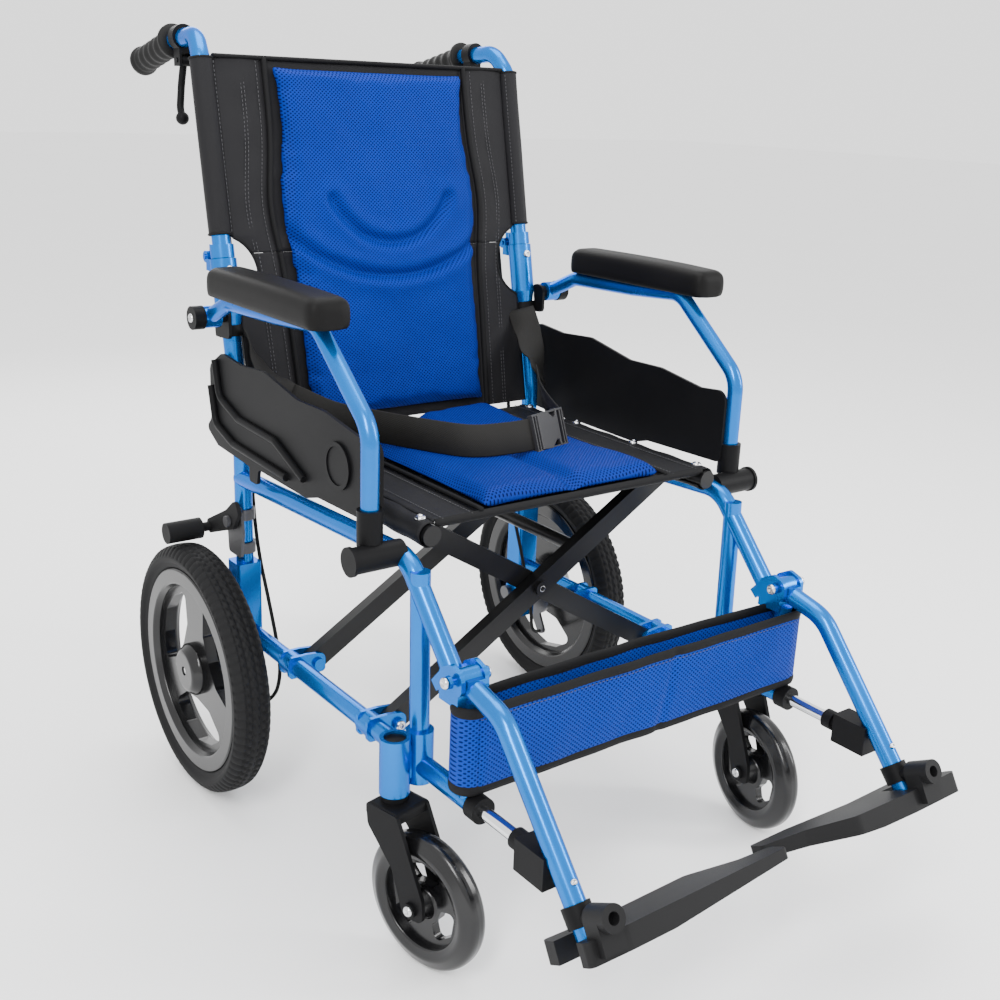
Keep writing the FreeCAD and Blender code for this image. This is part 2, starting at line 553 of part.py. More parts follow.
# ---- leg rest: hanger tube, strut, footplate clamp and footplate -----------------------------------
HANG_X = -228.0
HANGER = [(HANG_X, -40, 333), (HANG_X, -88, 322), (HANG_X, -236, 152)]
DOWN = Vector(0, -148, -170).normalize()         # along the lower hanger tube
AHEAD = Vector(0, -0.7542, 0.6566)               # square to it, forward and up
n = Node("hanger_R", (HANG_X, *HANGER_PIN))
n.bent(TUBE_R, HANGER, 48)
n.rod(11.0, (-239.2, *HANGER_PIN), (-216.8, *HANGER_PIN), tag="boss")
n.block((HANG_X, -36, 336), (20, 18, 16), tag="boss_web")
n.rod(4.0, (-250, *HANGER_PIN), (-206, *HANGER_PIN), tag="pin")
for x in (-252.5, -208.5):
    n.rod(6.5, (x, *HANGER_PIN), (x + 4, *HANGER_PIN), tag="pin_head")
n.bent(TUBE_BORE, [(HANG_X, -52, 330.2), (HANG_X, -88, 322), (HANG_X, -234, 154.3)], 48, take=True)
n.finish()

n = Node("strut_collar_R", (SIDE, -50, 207))
n.rod(14.0, (SIDE, -58, 207), (SIDE, -42, 207), tag="collar")
n.rod(TUBE_R, (SIDE, -46, 207), (SIDE, -30, 207), take=True)
n.rod(7.06, (SIDE, -60, 207), (SIDE, -30, 207), take=True)
n.finish()

STRUT_END = Vector(HANG_X, -88, 322) + DOWN * 146
n = Node("strut_rod_R", (SIDE, -100, 207))
n.rod("Dims.strut_rod_od / 2", (SIDE, 90, 207), (SIDE, -140, 207), tag="rod")
n.rod(9.3, (SIDE, 90, 207), (SIDE, 78, 207), tag="guide")
n.rod(11.0, (SIDE, -112, 207), (SIDE, -124, 207), tag="ferrule")
n.block((HANG_X, -151, 205), (27, 44, 34), tag="clip")
n.rod(11.3, tuple(STRUT_END - DOWN * 60), tuple(STRUT_END + DOWN * 60), take=True)
n.block(tuple(STRUT_END - AHEAD * -30), (60, 60, 120), Rotation(X_AXIS, -41.04), take=True, tag="open_side")
n.finish()

H = Vector(HANG_X, -88, 322) + DOWN * 188        # where the footplate hinge meets the tube
HINGE = Vector(0, -math.cos(math.radians(30)), 0.5)   # hinge line of the footplate: its nose-to-heel slope
UNDER = X_AXIS.cross(HINGE)                      # square to the footplate, downward
n = Node("foot_clamp_R", tuple(H))
n.rod(14.5, tuple(H - DOWN * 12), tuple(H + DOWN * 8), tag="clamp")
n.rod(9.0, tuple(H + HINGE * 9), tuple(H + HINGE * 20), tag="ear")
n.rod(6.0, tuple(H + HINGE * 15), tuple(H + HINGE * 41), tag="hinge_pin")
n.bent(TUBE_R, HANGER, 48, take=True)
n.finish()

# Footplate outlines: first number inward from the hinge, second one forward along it. The right nose is the
# front half and the left nose the rear half, so that they pass each other as the chair folds.
DECK = {
    "R": [(-24, -36, 6), (-24, 33, 6), (24, 34, 12), (244, 24, 6), (246, -2, 6), (205, -8, 12), (156, -36, 16),
          (58, -28, 24)],
    "L": [(-24, -34, 6), (-24, 15, 3), (-58, 13, 5), (-58, 31, 8), (24, 34, 20), (112, 30, 20), (156, -2, 12),
          (207, -16, 5), (207, -36, 5), (150, -38, 12), (58, -28, 24)],
}
POCKET = [(30, -19, 8), (30, 26, 8), (104, 22, 8), (118, 10, 6), (118, -26, 6), (60, -20, 10)]
PLATE_VIEW = Rotation(X_AXIS, HINGE, UNDER, "XYZ")
EDGE_VIEW = Rotation(X_AXIS, UNDER, -HINGE, "XYZ")
for side, sign in (("R", 1), ("L", -1)):
    hinge = Vector(sign * H.x, H.y, H.z)
    n = Node(f"footplate_{side}", tuple(hinge))
    n.plate([[(sign * x, u, r) for x, u, r in DECK[side]]], tuple(hinge + UNDER * 14), PLATE_VIEW,
            "Dims.footplate_thickness", tag="deck")
    n.rod(13.0, tuple(hinge + HINGE * 20.5), tuple(hinge + HINGE * 50), tag="knuckle")
    n.plate([[(sign * x, u) for x, u in ((-13, 20.5), (-13, 41), (13, 41), (13, 20.5))]],
            tuple(hinge), PLATE_VIEW, 31.0, tag="knuckle_web")
    n.plate([[(sign * x, u, r) for x, u, r in POCKET]], tuple(hinge + UNDER * 18), PLATE_VIEW, 22.0, take=True,
            tag="underside")
    n.plate([[(sign * x, w) for x, w in ((70, 36.5), (260, 23.5), (260, 60), (70, 60))]],
            tuple(hinge + HINGE * 60), EDGE_VIEW, 120.0, take=True, tag="taper")
    n.rod(6.05, tuple(hinge + HINGE * 12), tuple(hinge + HINGE * 60), take=True)
    n.plate([[(sign * x, u) for x, u in ((-44, -16), (-44, 19), (14, 19), (14, -16))]],
            tuple(hinge + UNDER * 4), PLATE_VIEW, 36.0, take=True, tag="tube_notch")
    part = n.finish()
    ribs = []
    for u in (-10, 7):
        ribs.append(n.plate([[(sign * x, v) for x, v in ((26, u - 1.5), (121, u - 1.5), (121, u + 1.5),
                                                         (26, u + 1.5))]],
                            tuple(hinge + UNDER * 16), PLATE_VIEW, 12.0, tag="rib"))
    joined = doc.addObject("Part::MultiFuse", f"footplate_{side}_ribbed")
    joined.Shapes = [part.Links[0], *ribs]
    part.Links = [joined]

# ---- cloth: seat, back, lap belt and calf strap ----------------------------------------------------
n = Node("seat_cushion", (0, 270, 462))
n.block((0, 268, 463.8), (373, 372, 18.4), tag="pad")
n.block((0, 268, 462), (420, 350, 9), tag="wings")
for x in (-198, 198):
    n.rod(11.3, (x, 60, 446), (x, 470, 446), take=True)
n.finish()

n = Node("back_panel_upper", (0, 530, 800))
panel_tilt = Rotation(X_AXIS, -math.degrees(math.atan(LEAN)))
n.block((0, back_y(803.5) - 3, 803.5), (427, 14, 215), panel_tilt, tag="pad")
for x in (-225, 225):
    n.rod(15.0, on_back(699, x), on_back(903, x), tag="sleeve")
    n.bent(11.3, [(math.copysign(p[0], x), p[1], p[2]) for p in BACK_TOP], 30, take=True)
n.finish()

n = Node("back_panel_lower", (0, 490, 570))
n.block((0, back_y(600) - 3, 590), (416.5, 10, 205), panel_tilt, tag="sling")
n.finish()

# The belt stands on its edge, in a right and a left run that meet at the buckle.
n = Node("lap_belt", (0, 300, 480))
for run in ([(-203, 436), (-150, 380), (-119, 327), (-84, 254), (-58, 216), (-10, 204), (26, 205.5)],
            [(88, 226), (105, 262), (150, 345), (203, 436)]):
    n.plate([ribbon(run, "Dims.cloth_thickness")], (0, 0, 479.5), Rotation(), "Dims.belt_width", tag="webbing")
n.finish()

n = Node("belt_buckle", (57, 211, 498))
shell = n.block((57, 212, 498.5), (56, 12, 44), Rotation(Z_AXIS, 15), tag="buckle")
n.soften(shell, 4, lambda e: True)
n.finish()

n = Node("calf_strap", (0, -32, 280))
n.plate([[(-246, -51, 17), (-246, -13, 17), (246, -13, 17), (246, -51, 17)],
         [(-243, -48, 15), (-243, -16, 15), (243, -16, 15), (243, -48, 15)]], (0, 0, 226), Rotation(), 86.5,
        tag="band")
n.finish()

doc.recompute()
HANDED = {"brace_bracket_R", "caster_fork_R", "caster_wheel_R", "footplate_R"}
for name in [key for key in nodes if key.endswith("_R") and key not in HANDED]:
    mirrored(name)
doc.recompute()

for obj in doc.Objects:
    if {"Invalid", "Error"} & set(obj.State):
        raise RuntimeError(f"{obj.Label} did not build: {obj.State}")
for name, obj in nodes.items():
    if obj.Shape.isNull() or not obj.Shape.isValid():
        raise RuntimeError(f"{name} has no valid shape")
    obj.Shape.exportStep(f"parts/{name}.step")
    box = obj.Shape.BoundBox
    print(f"{name:24s} solids {len(obj.Shape.Solids)} volume {obj.Shape.Volume / 1000:9.2f} cm3 "
          f"x {box.XMin:7.1f} {box.XMax:7.1f} y {box.YMin:7.1f} {box.YMax:7.1f} z {box.ZMin:6.1f} {box.ZMax:6.1f}")
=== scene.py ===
import json
import math

import bmesh
import bpy
from mathutils import Matrix, Vector, noise

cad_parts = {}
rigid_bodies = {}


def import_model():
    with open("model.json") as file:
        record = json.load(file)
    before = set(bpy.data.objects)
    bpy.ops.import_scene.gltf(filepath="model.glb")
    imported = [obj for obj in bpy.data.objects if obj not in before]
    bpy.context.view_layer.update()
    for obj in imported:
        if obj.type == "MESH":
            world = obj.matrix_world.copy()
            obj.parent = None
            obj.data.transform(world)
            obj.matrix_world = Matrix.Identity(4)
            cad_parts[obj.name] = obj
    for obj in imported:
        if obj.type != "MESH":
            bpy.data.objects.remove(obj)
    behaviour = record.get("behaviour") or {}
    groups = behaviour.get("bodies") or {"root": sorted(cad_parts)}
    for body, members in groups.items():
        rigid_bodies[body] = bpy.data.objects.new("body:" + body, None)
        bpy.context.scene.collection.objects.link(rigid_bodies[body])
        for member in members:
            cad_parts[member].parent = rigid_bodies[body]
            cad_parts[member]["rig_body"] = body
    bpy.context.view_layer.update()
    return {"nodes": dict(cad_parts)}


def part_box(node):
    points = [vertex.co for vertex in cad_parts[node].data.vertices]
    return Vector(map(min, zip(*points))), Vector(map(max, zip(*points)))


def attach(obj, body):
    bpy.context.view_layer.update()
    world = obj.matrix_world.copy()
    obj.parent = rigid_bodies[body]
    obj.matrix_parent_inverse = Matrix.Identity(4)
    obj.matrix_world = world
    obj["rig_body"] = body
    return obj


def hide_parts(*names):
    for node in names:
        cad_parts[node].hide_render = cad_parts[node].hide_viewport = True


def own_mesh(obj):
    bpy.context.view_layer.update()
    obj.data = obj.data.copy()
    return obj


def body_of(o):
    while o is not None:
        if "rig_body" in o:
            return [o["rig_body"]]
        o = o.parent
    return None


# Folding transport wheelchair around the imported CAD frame. Metres; X across (the user's right is -X),
# the user faces -Y, Z up. CAD parts keep their place; the cloth, padding, tyres, grips, buckle and
# fixings are modelled here.

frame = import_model()
nodes = frame["nodes"]
scene = bpy.context.scene
MM = 0.001


def body(node):
    """The body that a CAD node rides on."""
    return body_of(nodes[node])[0]


def middle(node):
    low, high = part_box(node)
    return (low + high) / 2


# ---- places worked out from the frame --------------------------------------------------------------
SIDES = (("R", -1), ("L", 1))                           # each side and the sign of its X
TUBE_X = 0.225                                          # centre plane of each side frame
TUBE_R = 0.011
BACK_FOOT = Vector((0, 0.219, 0.480))                   # where the uprights start to lean back
LEAN = 0.2                                              # lean of the back, metres back per metre up
BACK_AHEAD = Vector((0, -1, LEAN)).normalized()         # forward, square to the back
BACK_UP = Vector((0, LEAN, 1)).normalized()
HINGE = Vector((0, 0.282, 0.676))                       # axis of the folding back
RAIL_X, RAIL_Z = 0.198, 0.446                           # seat rails
SEAT_LOW, SEAT_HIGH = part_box("seat_cushion")


def back_point(x, z, ahead):
    """Point of the back at width x and height z, that far ahead of the uprights' centre plane."""
    on_plane = Vector((x, BACK_FOOT.y + LEAN * (z - BACK_FOOT.z), z))
    return on_plane + BACK_AHEAD * ahead


# ---- materials -------------------------------------------------------------------------------------
class Finish:
    """A node-based material, built up from object coordinates."""

    def __init__(self, name, base, rough, metallic=0.0, **sockets):
        self.mat = bpy.data.materials.new(name)
        self.mat.use_nodes = True
        self.tree = self.mat.node_tree
        self.bsdf = self.tree.nodes["Principled BSDF"]
        self.place = self.tree.nodes.new("ShaderNodeTexCoord").outputs["Object"]
        self.base = base
        self.bsdf.inputs["Base Color"].default_value = (*base, 1)
        self.bsdf.inputs["Roughness"].default_value = rough
        self.bsdf.inputs["Metallic"].default_value = metallic
        for key, value in sockets.items():
            self.bsdf.inputs[key.replace("_", " ")].default_value = value

    def math(self, operation, a, b=0.0, clamp=False):
        node = self.tree.nodes.new("ShaderNodeMath")
        node.operation, node.use_clamp = operation, clamp
        for socket, value in zip(node.inputs, (a, b)):
            if isinstance(value, (int, float)):
                socket.default_value = value
            else:
                self.tree.links.new(value, socket)
        return node.outputs[0]

    def noise(self, scale, detail=3.0, stretch=None):
        node = self.tree.nodes.new("ShaderNodeTexNoise")
        node.inputs["Scale"].default_value = scale
        node.inputs["Detail"].default_value = detail
        vector = self.place
        if stretch:
            mapping = self.tree.nodes.new("ShaderNodeMapping")
            mapping.inputs["Scale"].default_value = stretch
            self.tree.links.new(self.place, mapping.inputs["Vector"])
            vector = mapping.outputs[0]
        self.tree.links.new(vector, node.inputs["Vector"])
        return node.outputs["Fac"]

    def axes(self):
        node = self.tree.nodes.new("ShaderNodeSeparateXYZ")
        self.tree.links.new(self.place, node.inputs[0])
        return node.outputs

    def blend(self, factor, first, second, socket="Base Color"):
        node = self.tree.nodes.new("ShaderNodeMix")
        node.data_type = "RGBA"
        self.tree.links.new(factor, node.inputs["Factor"])
        for key, value in (("A", first), ("B", second)):
            target = [s for s in node.inputs if s.name == key and s.type == "RGBA"][0]
            if isinstance(value, tuple):
                target.default_value = (*value, 1)
            else:
                self.tree.links.new(value, target)
        result = [s for s in node.outputs if s.type == "RGBA"][0]
        if socket:
            self.tree.links.new(result, self.bsdf.inputs[socket])
        return result

    def span(self, factor, low, high, socket):
        """The factor, 0 to 1, spread from low to high on a socket of the shader."""
        scaled = self.math("MULTIPLY", factor, high - low)
        self.tree.links.new(self.math("ADD", scaled, low), self.bsdf.inputs[socket])

    def bump(self, height, distance, strength=1.0):
        node = self.tree.nodes.new("ShaderNodeBump")
        node.inputs["Distance"].default_value = distance
        node.inputs["Strength"].default_value = strength
        self.tree.links.new(height, node.inputs["Height"])
        self.tree.links.new(node.outputs[0], self.bsdf.inputs["Normal"])
        return self


def plain(name, base, rough, grain, depth, metallic=0.0, spread=0.35, **sockets):
    """A finish with fine grain, faint colour change and worn patches."""
    f = Finish(name, base, rough, metallic, **sockets)
    fine, broad = f.noise(grain, 4.0), f.noise(9.0, 3.0)
    f.blend(broad, tuple(c * (1 - spread) for c in base), tuple(min(c * (1 + spread), 1) for c in base))
    f.span(broad, rough - 0.07, rough + 0.07, "Roughness")
    return f.bump(fine, depth, 0.6).mat


def metallic_paint(name, base):
    f = Finish(name, base, 0.26, 0.78, Coat_Weight=0.22, Coat_Roughness=0.04, Coat_IOR=1.4,
               Specular_IOR_Level=0.2, Specular_Tint=(0.02, 0.42, 0.9, 1))
    flake, broad = f.noise(2600.0, 1.0), f.noise(14.0, 3.0)
    lit = tuple(min(c * 1.35, 1) for c in base)
    dark = tuple(c * 0.75 for c in base)
    tone = f.blend(broad, dark, lit, None)
    f.blend(f.math("POWER", flake, 3.0), tone, tuple(min(c * 1.8 + 0.004, 1) for c in base))
    f.span(broad, 0.2, 0.32, "Roughness")
    return f.bump(f.noise(60.0, 2.0), 0.00008, 0.3).mat


def spacer_mesh(name, across, along, fibre, hole_shade, pitch=0.0026):
    """Knitted spacer fabric: staggered rows of small oval holes in the plane of two axes, with painted shade
    in the holes and a painted highlight on raised yarns.
    """
    f = Finish(name, fibre, 0.62, 0.0, Specular_IOR_Level=0.08)
    axes = f.axes()
    waves = [f.math("COSINE", f.math("MULTIPLY", axes[a], math.pi / p))
             for a, p in ((across, pitch), (along, pitch * 0.86))]
    lattice = f.math("MULTIPLY", *waves)
    holes = f.math("MULTIPLY", f.math("SUBTRACT", lattice, 0.28), 3.2, clamp=True)
    broad = f.noise(7.0, 4.0)
    yarn = f.noise(900.0, 2.0)
    tone = f.blend(broad, tuple(c * 0.72 for c in fibre), tuple(min(c * 1.3, 1) for c in fibre), None)
    # raised yarns are mixed towards this lighter blue: a painted highlight on their tops
    lit = tuple(min(c * 1.8 + 0.008, 1) for c in fibre)
    fibre_with_highlight = f.blend(f.math("MULTIPLY", yarn, 0.35), tone, lit, None)
    # the holes take the dark hole colour: painted shade inside them
    f.blend(holes, fibre_with_highlight, hole_shade)
    f.span(holes, 0.55, 0.9, "Roughness")
    height = f.math("SUBTRACT", f.math("MULTIPLY", yarn, 0.25), holes)
    return f.bump(height, 0.0011, 0.9).mat


def woven(name, base, thread=0.0011, across=0, along=2, rough=0.62):
    """Plain-weave nylon: two crossing sets of threads with broad creases, with painted shade in their folds
    and painted light on their crests.
    """
    f = Finish(name, base, rough, 0.0, Specular_IOR_Level=0.16)
    axes = f.axes()
    warp, weft = [f.math("SINE", f.math("MULTIPLY", axes[a], 2 * math.pi / thread)) for a in (across, along)]
    weave = f.math("MULTIPLY", warp, weft)
    broad = f.noise(11.0, 5.0, (1, 1, 0.5))
    # the crease noise also sets the colour: painted shade in the folds, painted light on the crests
    f.blend(broad, tuple(c * 0.6 for c in base), tuple(c * 1.6 for c in base))
    f.span(broad, rough - 0.12, rough + 0.08, "Roughness")
    height = f.math("ADD", f.math("MULTIPLY", weave, 0.12), broad)
    return f.bump(height, 0.0012, 0.55).mat


BLUE = metallic_paint("azure_lacquer", (0.0004, 0.12, 0.42))
BLACK_PAINT = plain("black_enamel", (0.005, 0.005, 0.0055), 0.32, 500.0, 0.00006, 0.2, Specular_IOR_Level=0.3)
STEEL = plain("bright_steel", (0.62, 0.62, 0.63), 0.22, 700.0, 0.00004, 1.0, 0.12)
CHROME = plain("chromed_rod", (0.75, 0.76, 0.78), 0.1, 400.0, 0.00003, 1.0, 0.08)
DARK_STEEL = plain("phosphated_steel", (0.09, 0.09, 0.095), 0.4, 600.0, 0.00006, 0.8)
PLASTIC = plain("black_moulding", (0.0055, 0.0055, 0.006), 0.48, 1500.0, 0.0001, Specular_IOR_Level=0.08)
GLOSSY = plain("glossy_black_moulding", (0.004, 0.004, 0.0045), 0.22, 800.0, 0.00004, Specular_IOR_Level=0.4)
LEAF = plain("footplate_moulding", (0.009, 0.009, 0.0095), 0.5, 1300.0, 0.00018, Specular_IOR_Level=0.12)
FOAM = plain("moulded_armrest_foam", (0.006, 0.0058, 0.0058), 0.5, 1900.0, 0.00022, Specular_IOR_Level=0.08)
RUBBER = plain("tyre_rubber", (0.007, 0.007, 0.0075), 0.68, 1200.0, 0.00015, Specular_IOR_Level=0.15)
GRIP = plain("grip_rubber", (0.006, 0.006, 0.006), 0.55, 1500.0, 0.00018, Specular_IOR_Level=0.15)
BUCKLE = plain("buckle_acetal", (0.022, 0.022, 0.024), 0.38, 1400.0, 0.0001, Specular_IOR_Level=0.3)
# the second colour of each spacer mesh is painted shade inside its holes
MESH_BACK = spacer_mesh("blue_spacer_mesh_back", 0, 2, (0.0005, 0.018, 0.21), (0.0002, 0.003, 0.05))
MESH_SEAT = spacer_mesh("blue_spacer_mesh_seat", 0, 1, (0.0004, 0.014, 0.17), (0.0002, 0.002, 0.035))
MESH_CALF = spacer_mesh("blue_spacer_mesh_calf", 0, 2, (0.002, 0.028, 0.25), (0.0003, 0.006, 0.07), 0.0030)
NYLON = woven("black_nylon", (0.008, 0.0078, 0.009))
NYLON_SEAT = woven("black_nylon_seat", (0.007, 0.007, 0.008), across=0, along=1)
WEBBING = woven("belt_webbing", (0.009, 0.0086, 0.008), 0.0022, rough=0.7)
BINDING = woven("edge_binding", (0.0045, 0.0045, 0.005), 0.0016, rough=0.75)
THREAD = plain("grey_thread", (0.055, 0.055, 0.06), 0.6, 900.0, 0.0001)

FINISH_OF = {
    "frame": BLUE, "brace_bracket": BLUE, "back_tube": BLUE, "arm_tube": BLUE, "hanger": BLUE,
    "rear_axle": DARK_STEEL, "brace_to": BLACK_PAINT, "arm_latch": PLASTIC, "arm_pivot": PLASTIC,
    "arm_foot": PLASTIC, "side_panel": PLASTIC, "lever_clamp": PLASTIC, "hand_lever": PLASTIC,
    "brake_cable": RUBBER, "brake_bracket": DARK_STEEL, "brake_shoe": RUBBER, "rear_rim": GLOSSY,
    "rear_tyre": RUBBER, "caster_fork": PLASTIC, "caster_wheel": GLOSSY, "strut_collar": PLASTIC,
    "strut_rod": CHROME, "foot_clamp": PLASTIC, "footplate": LEAF, "arm_pad": FOAM, "grip": GRIP,
    "belt_buckle": BUCKLE, "seat_cushion": NYLON, "back_panel": NYLON, "lap_belt": WEBBING,
    "calf_strap": MESH_CALF,
}
for name, node in nodes.items():
    finish = next(f for key, f in FINISH_OF.items() if name.startswith(key))
    node.data.materials.clear()
    node.data.materials.append(finish)

STRUT_CLIP_Y = -0.3595                                  # the bright rod ends and its black clip starts here
for side, _ in SIDES:
    rod = nodes[f"strut_rod_{side}"]
    rod.data.materials.append(PLASTIC)
    for face in rod.data.polygons:
        if (rod.matrix_world @ face.center).y < STRUT_CLIP_Y:
            face.material_index = 1


# ---- mesh helpers ----------------------------------------------------------------------------------
def make(name, points, faces, material, smooth=True):
    mesh = bpy.data.meshes.new(name)
    mesh.from_pydata([tuple(p) for p in points], [], faces)
    mesh.update()
    mesh.polygons.foreach_set("use_smooth", [smooth] * len(mesh.polygons))
    obj = bpy.data.objects.new(name, mesh)
    scene.collection.objects.link(obj)
    obj.data.materials.append(material)
    return obj


def bake(obj):
    """Turn the object's modifiers into plain mesh."""
    graph = bpy.context.evaluated_depsgraph_get()
    mesh = bpy.data.meshes.new_from_object(obj.evaluated_get(graph), depsgraph=graph)
    obj.modifiers.clear()
    obj.data = mesh
    return obj


def refined(obj, levels=1):
    subdivision = obj.modifiers.new("subdivision", "SUBSURF")
    subdivision.levels = subdivision.render_levels = levels
    return bake(obj)


def quads(rows, columns, around=False):
    turns = columns if around else columns - 1
    return [(i * columns + j, i * columns + (j + 1) % columns, (i + 1) * columns + (j + 1) % columns,
             (i + 1) * columns + j) for i in range(rows - 1) for j in range(turns)]


def surface(name, point, rows, columns, thickness, material):
    """A sheet through point(u, v), u and v from 0 to 1, given thickness to both sides."""
    points = [point(i / (rows - 1), j / (columns - 1)) for i in range(rows) for j in range(columns)]
    obj = make(name, points, quads(rows, columns), material)
    solid = obj.modifiers.new("thickness", "SOLIDIFY")
    solid.thickness, solid.offset = thickness, 0.0
    return bake(obj)


def sweep(name, path, section, material, closed=False, across=None):
    """Carry a closed section, pairs of (across, out), along a path; across fixes the first direction."""
    path = [Vector(p) for p in path]
    count, points = len(path), []
    side = None
    for i, here in enumerate(path):
        before = path[i - 1] if i or closed else here
        after = path[(i + 1) % count] if i < count - 1 or closed else here
        along = (after - before).normalized()
        wish = across(i / max(count - 1, 1)) if callable(across) else (across or side or along.orthogonal())
        side = (Vector(wish) - along * along.dot(Vector(wish))).normalized()
        out = side.cross(along)
        shape = section(i / max(count - 1, 1)) if callable(section) else section
        points += [here + side * a + out * b for a, b in shape]
    sides = len(points) // count
    faces = quads(count, sides, True)
    if closed:
        faces += [((count - 1) * sides + j, (count - 1) * sides + (j + 1) % sides, (j + 1) % sides, j)
                  for j in range(sides)]
    else:
        faces += [tuple(reversed(range(sides))), tuple((count - 1) * sides + j for j in range(sides))]
    return make(name, points, faces, material)


def ring(radius, sides=12):
    return [(radius * math.cos(2 * math.pi * k / sides), radius * math.sin(2 * math.pi * k / sides))
            for k in range(sides)]


def flat(width, thickness):
    """Section of webbing: flat with rounded edges."""
    w, t = width / 2, thickness / 2
    return [(-w, 0), (-w + t, -t), (0, -t), (w - t, -t), (w, 0), (w - t, t), (0, t), (-w + t, t)]


def curve_through(points, steps=8):
    """Smooth path through given points."""
    points = [Vector(p) for p in points]
    ends = [points[0] * 2 - points[1], *points, points[-1] * 2 - points[-2]]
    path = []
    for a, b, c, d in zip(ends, ends[1:], ends[2:], ends[3:]):
        for k in range(steps):
            t = k / steps
            path.append(0.5 * (2 * b + (c - a) * t + (2 * a - 5 * b + 4 * c - d) * t * t
                               + (3 * b - a - 3 * c + d) * t ** 3))
    return path + [points[-1]]


def turned(name, profile, centre, axis, material, sides=32):
    """Revolve pairs of (along the axis, radius) about an axis through the centre."""
    axis = Vector(axis).normalized()
    u = axis.orthogonal().normalized()
    w = axis.cross(u)
    points = []
    for along, radius in profile:
        for k in range(sides):
            a = 2 * math.pi * k / sides
            points.append(Vector(centre) + axis * along + (u * math.cos(a) + w * math.sin(a)) * radius)
    faces = quads(len(profile), sides, True)
    faces += [tuple(reversed(range(sides))), tuple((len(profile) - 1) * sides + k for k in range(sides))]
    return make(name, points, faces, material)


def ripple(p, size, depth):
    """Smooth unevenness of cloth at a place."""
    return noise.noise(Vector(p) / size) * depth


def blank(name, point, layers, rows, columns, material):
    """Two layers of point(layer, i, j) joined round their rim, ready to be blown up."""
    points = [point(layer, i, j) for layer in layers for i in range(rows) for j in range(columns)]
    size = rows * columns
    faces = [tuple(reversed(f)) for f in quads(rows, columns)]
    faces += [tuple(size + k for k in f) for f in quads(rows, columns)]
    rim = [j for j in range(columns)] + [i * columns + columns - 1 for i in range(1, rows)]
    rim += [(rows - 1) * columns + j for j in range(columns - 2, -1, -1)]
    rim += [i * columns for i in range(rows - 2, 0, -1)]
    faces += [(a, b, b + size, a + size) for a, b in zip(rim, rim[1:] + rim[:1])]
    return make(name, points, faces, material)


def swell(obj, cap, floor=None):
    """Blow the closed shape up as cloth under pressure, moving no point further than the cap."""
    voxels = obj.modifiers.new("voxels", "REMESH")
    voxels.mode, voxels.voxel_size = "VOXEL", 0.005
    bake(obj)
    before = [v.co.copy() for v in obj.data.vertices]
    cloth = obj.modifiers.new("cloth", "CLOTH")
    cloth.settings.quality = 5
    cloth.settings.use_pressure = True
    cloth.settings.uniform_pressure_force = 4.0
    cloth.settings.effector_weights.gravity = 0.0
    cloth.point_cache.frame_start, cloth.point_cache.frame_end = 1, 20
    for step in range(1, 21):
        scene.frame_set(step)
    graph = bpy.context.evaluated_depsgraph_get()
    after = [v.co.copy() for v in obj.evaluated_get(graph).data.vertices]
    obj.modifiers.clear()
    scene.frame_set(1)
    for vertex, old, new in zip(obj.data.vertices, before, after):
        move = new - old
        vertex.co = old + move * min(1.0, cap / max(move.length, 1e-9))
    smooth = obj.modifiers.new("smooth", "SMOOTH")
    smooth.factor, smooth.iterations = 0.5, 4
    bake(obj)
    if floor:
        for vertex in obj.data.vertices:
            vertex.co = floor(vertex.co)
    refined(obj)
    obj.data.polygons.foreach_set("use_smooth", [True] * len(obj.data.polygons))
    return obj


def cut(obj, point, normal, keep_above):
    """Keep one side of a plane, closing the cut."""
    mesh = bmesh.new()
    mesh.from_mesh(obj.data)
    made = bmesh.ops.bisect_plane(mesh, geom=mesh.verts[:] + mesh.edges[:] + mesh.faces[:], plane_co=point,
                                  plane_no=normal, clear_inner=keep_above, clear_outer=not keep_above)
    rim = [e for e in made["geom_cut"] if isinstance(e, bmesh.types.BMEdge)]
    bmesh.ops.holes_fill(mesh, edges=rim)
    for edge in rim:
        edge.smooth = False
    mesh.to_mesh(obj.data)
    mesh.free()
    return obj


def copy_of(obj, name):
    twin = obj.copy()
    twin.data = obj.data.copy()
    twin.name = name
    scene.collection.objects.link(twin)
    return twin


def stitches(name, path, out, material=THREAD, length=0.0032, gap=0.0018, radius=0.00045):
    """A row of raised thread stitches along a path, lifted to the out side."""
    path = [Vector(p) for p in path]
    points, faces, travelled, start = [], [], 0.0, None
    for a, b in zip(path, path[1:]):
        along, reach = (b - a).normalized(), (b - a).length
        while travelled < reach:
            first = a + along * travelled
            side = along.cross(Vector(out)).normalized()
            up = side.cross(along)
            base = len(points)
            for s, lift, girth in ((0, 0.1, 0.5), (0.25, 0.8, 1), (0.75, 0.8, 1), (1, 0.1, 0.5)):
                centre = first + along * (s * length) + up * (lift * radius)
                points += [centre + side * radius * girth, centre + up * radius * girth,
                           centre - side * radius * girth, centre - up * radius * girth]
            for k in range(3):
                faces += [(base + k * 4 + j, base + k * 4 + (j + 1) % 4, base + k * 4 + 4 + (j + 1) % 4,
                           base + k * 4 + 4 + j) for j in range(4)]
            faces += [(base + 3, base + 2, base + 1, base), tuple(base + 12 + j for j in range(4))]
            travelled += length + gap
        travelled -= reach
    return make(name, points, faces, material)


def merged(name, objects):
    """One object from several."""
    bpy.ops.object.select_all(action="DESELECT")
    for obj in objects:
        obj.select_set(True)
    bpy.context.view_layer.objects.active = objects[0]
    bpy.ops.object.join()
    objects[0].name = name
    return objects[0]


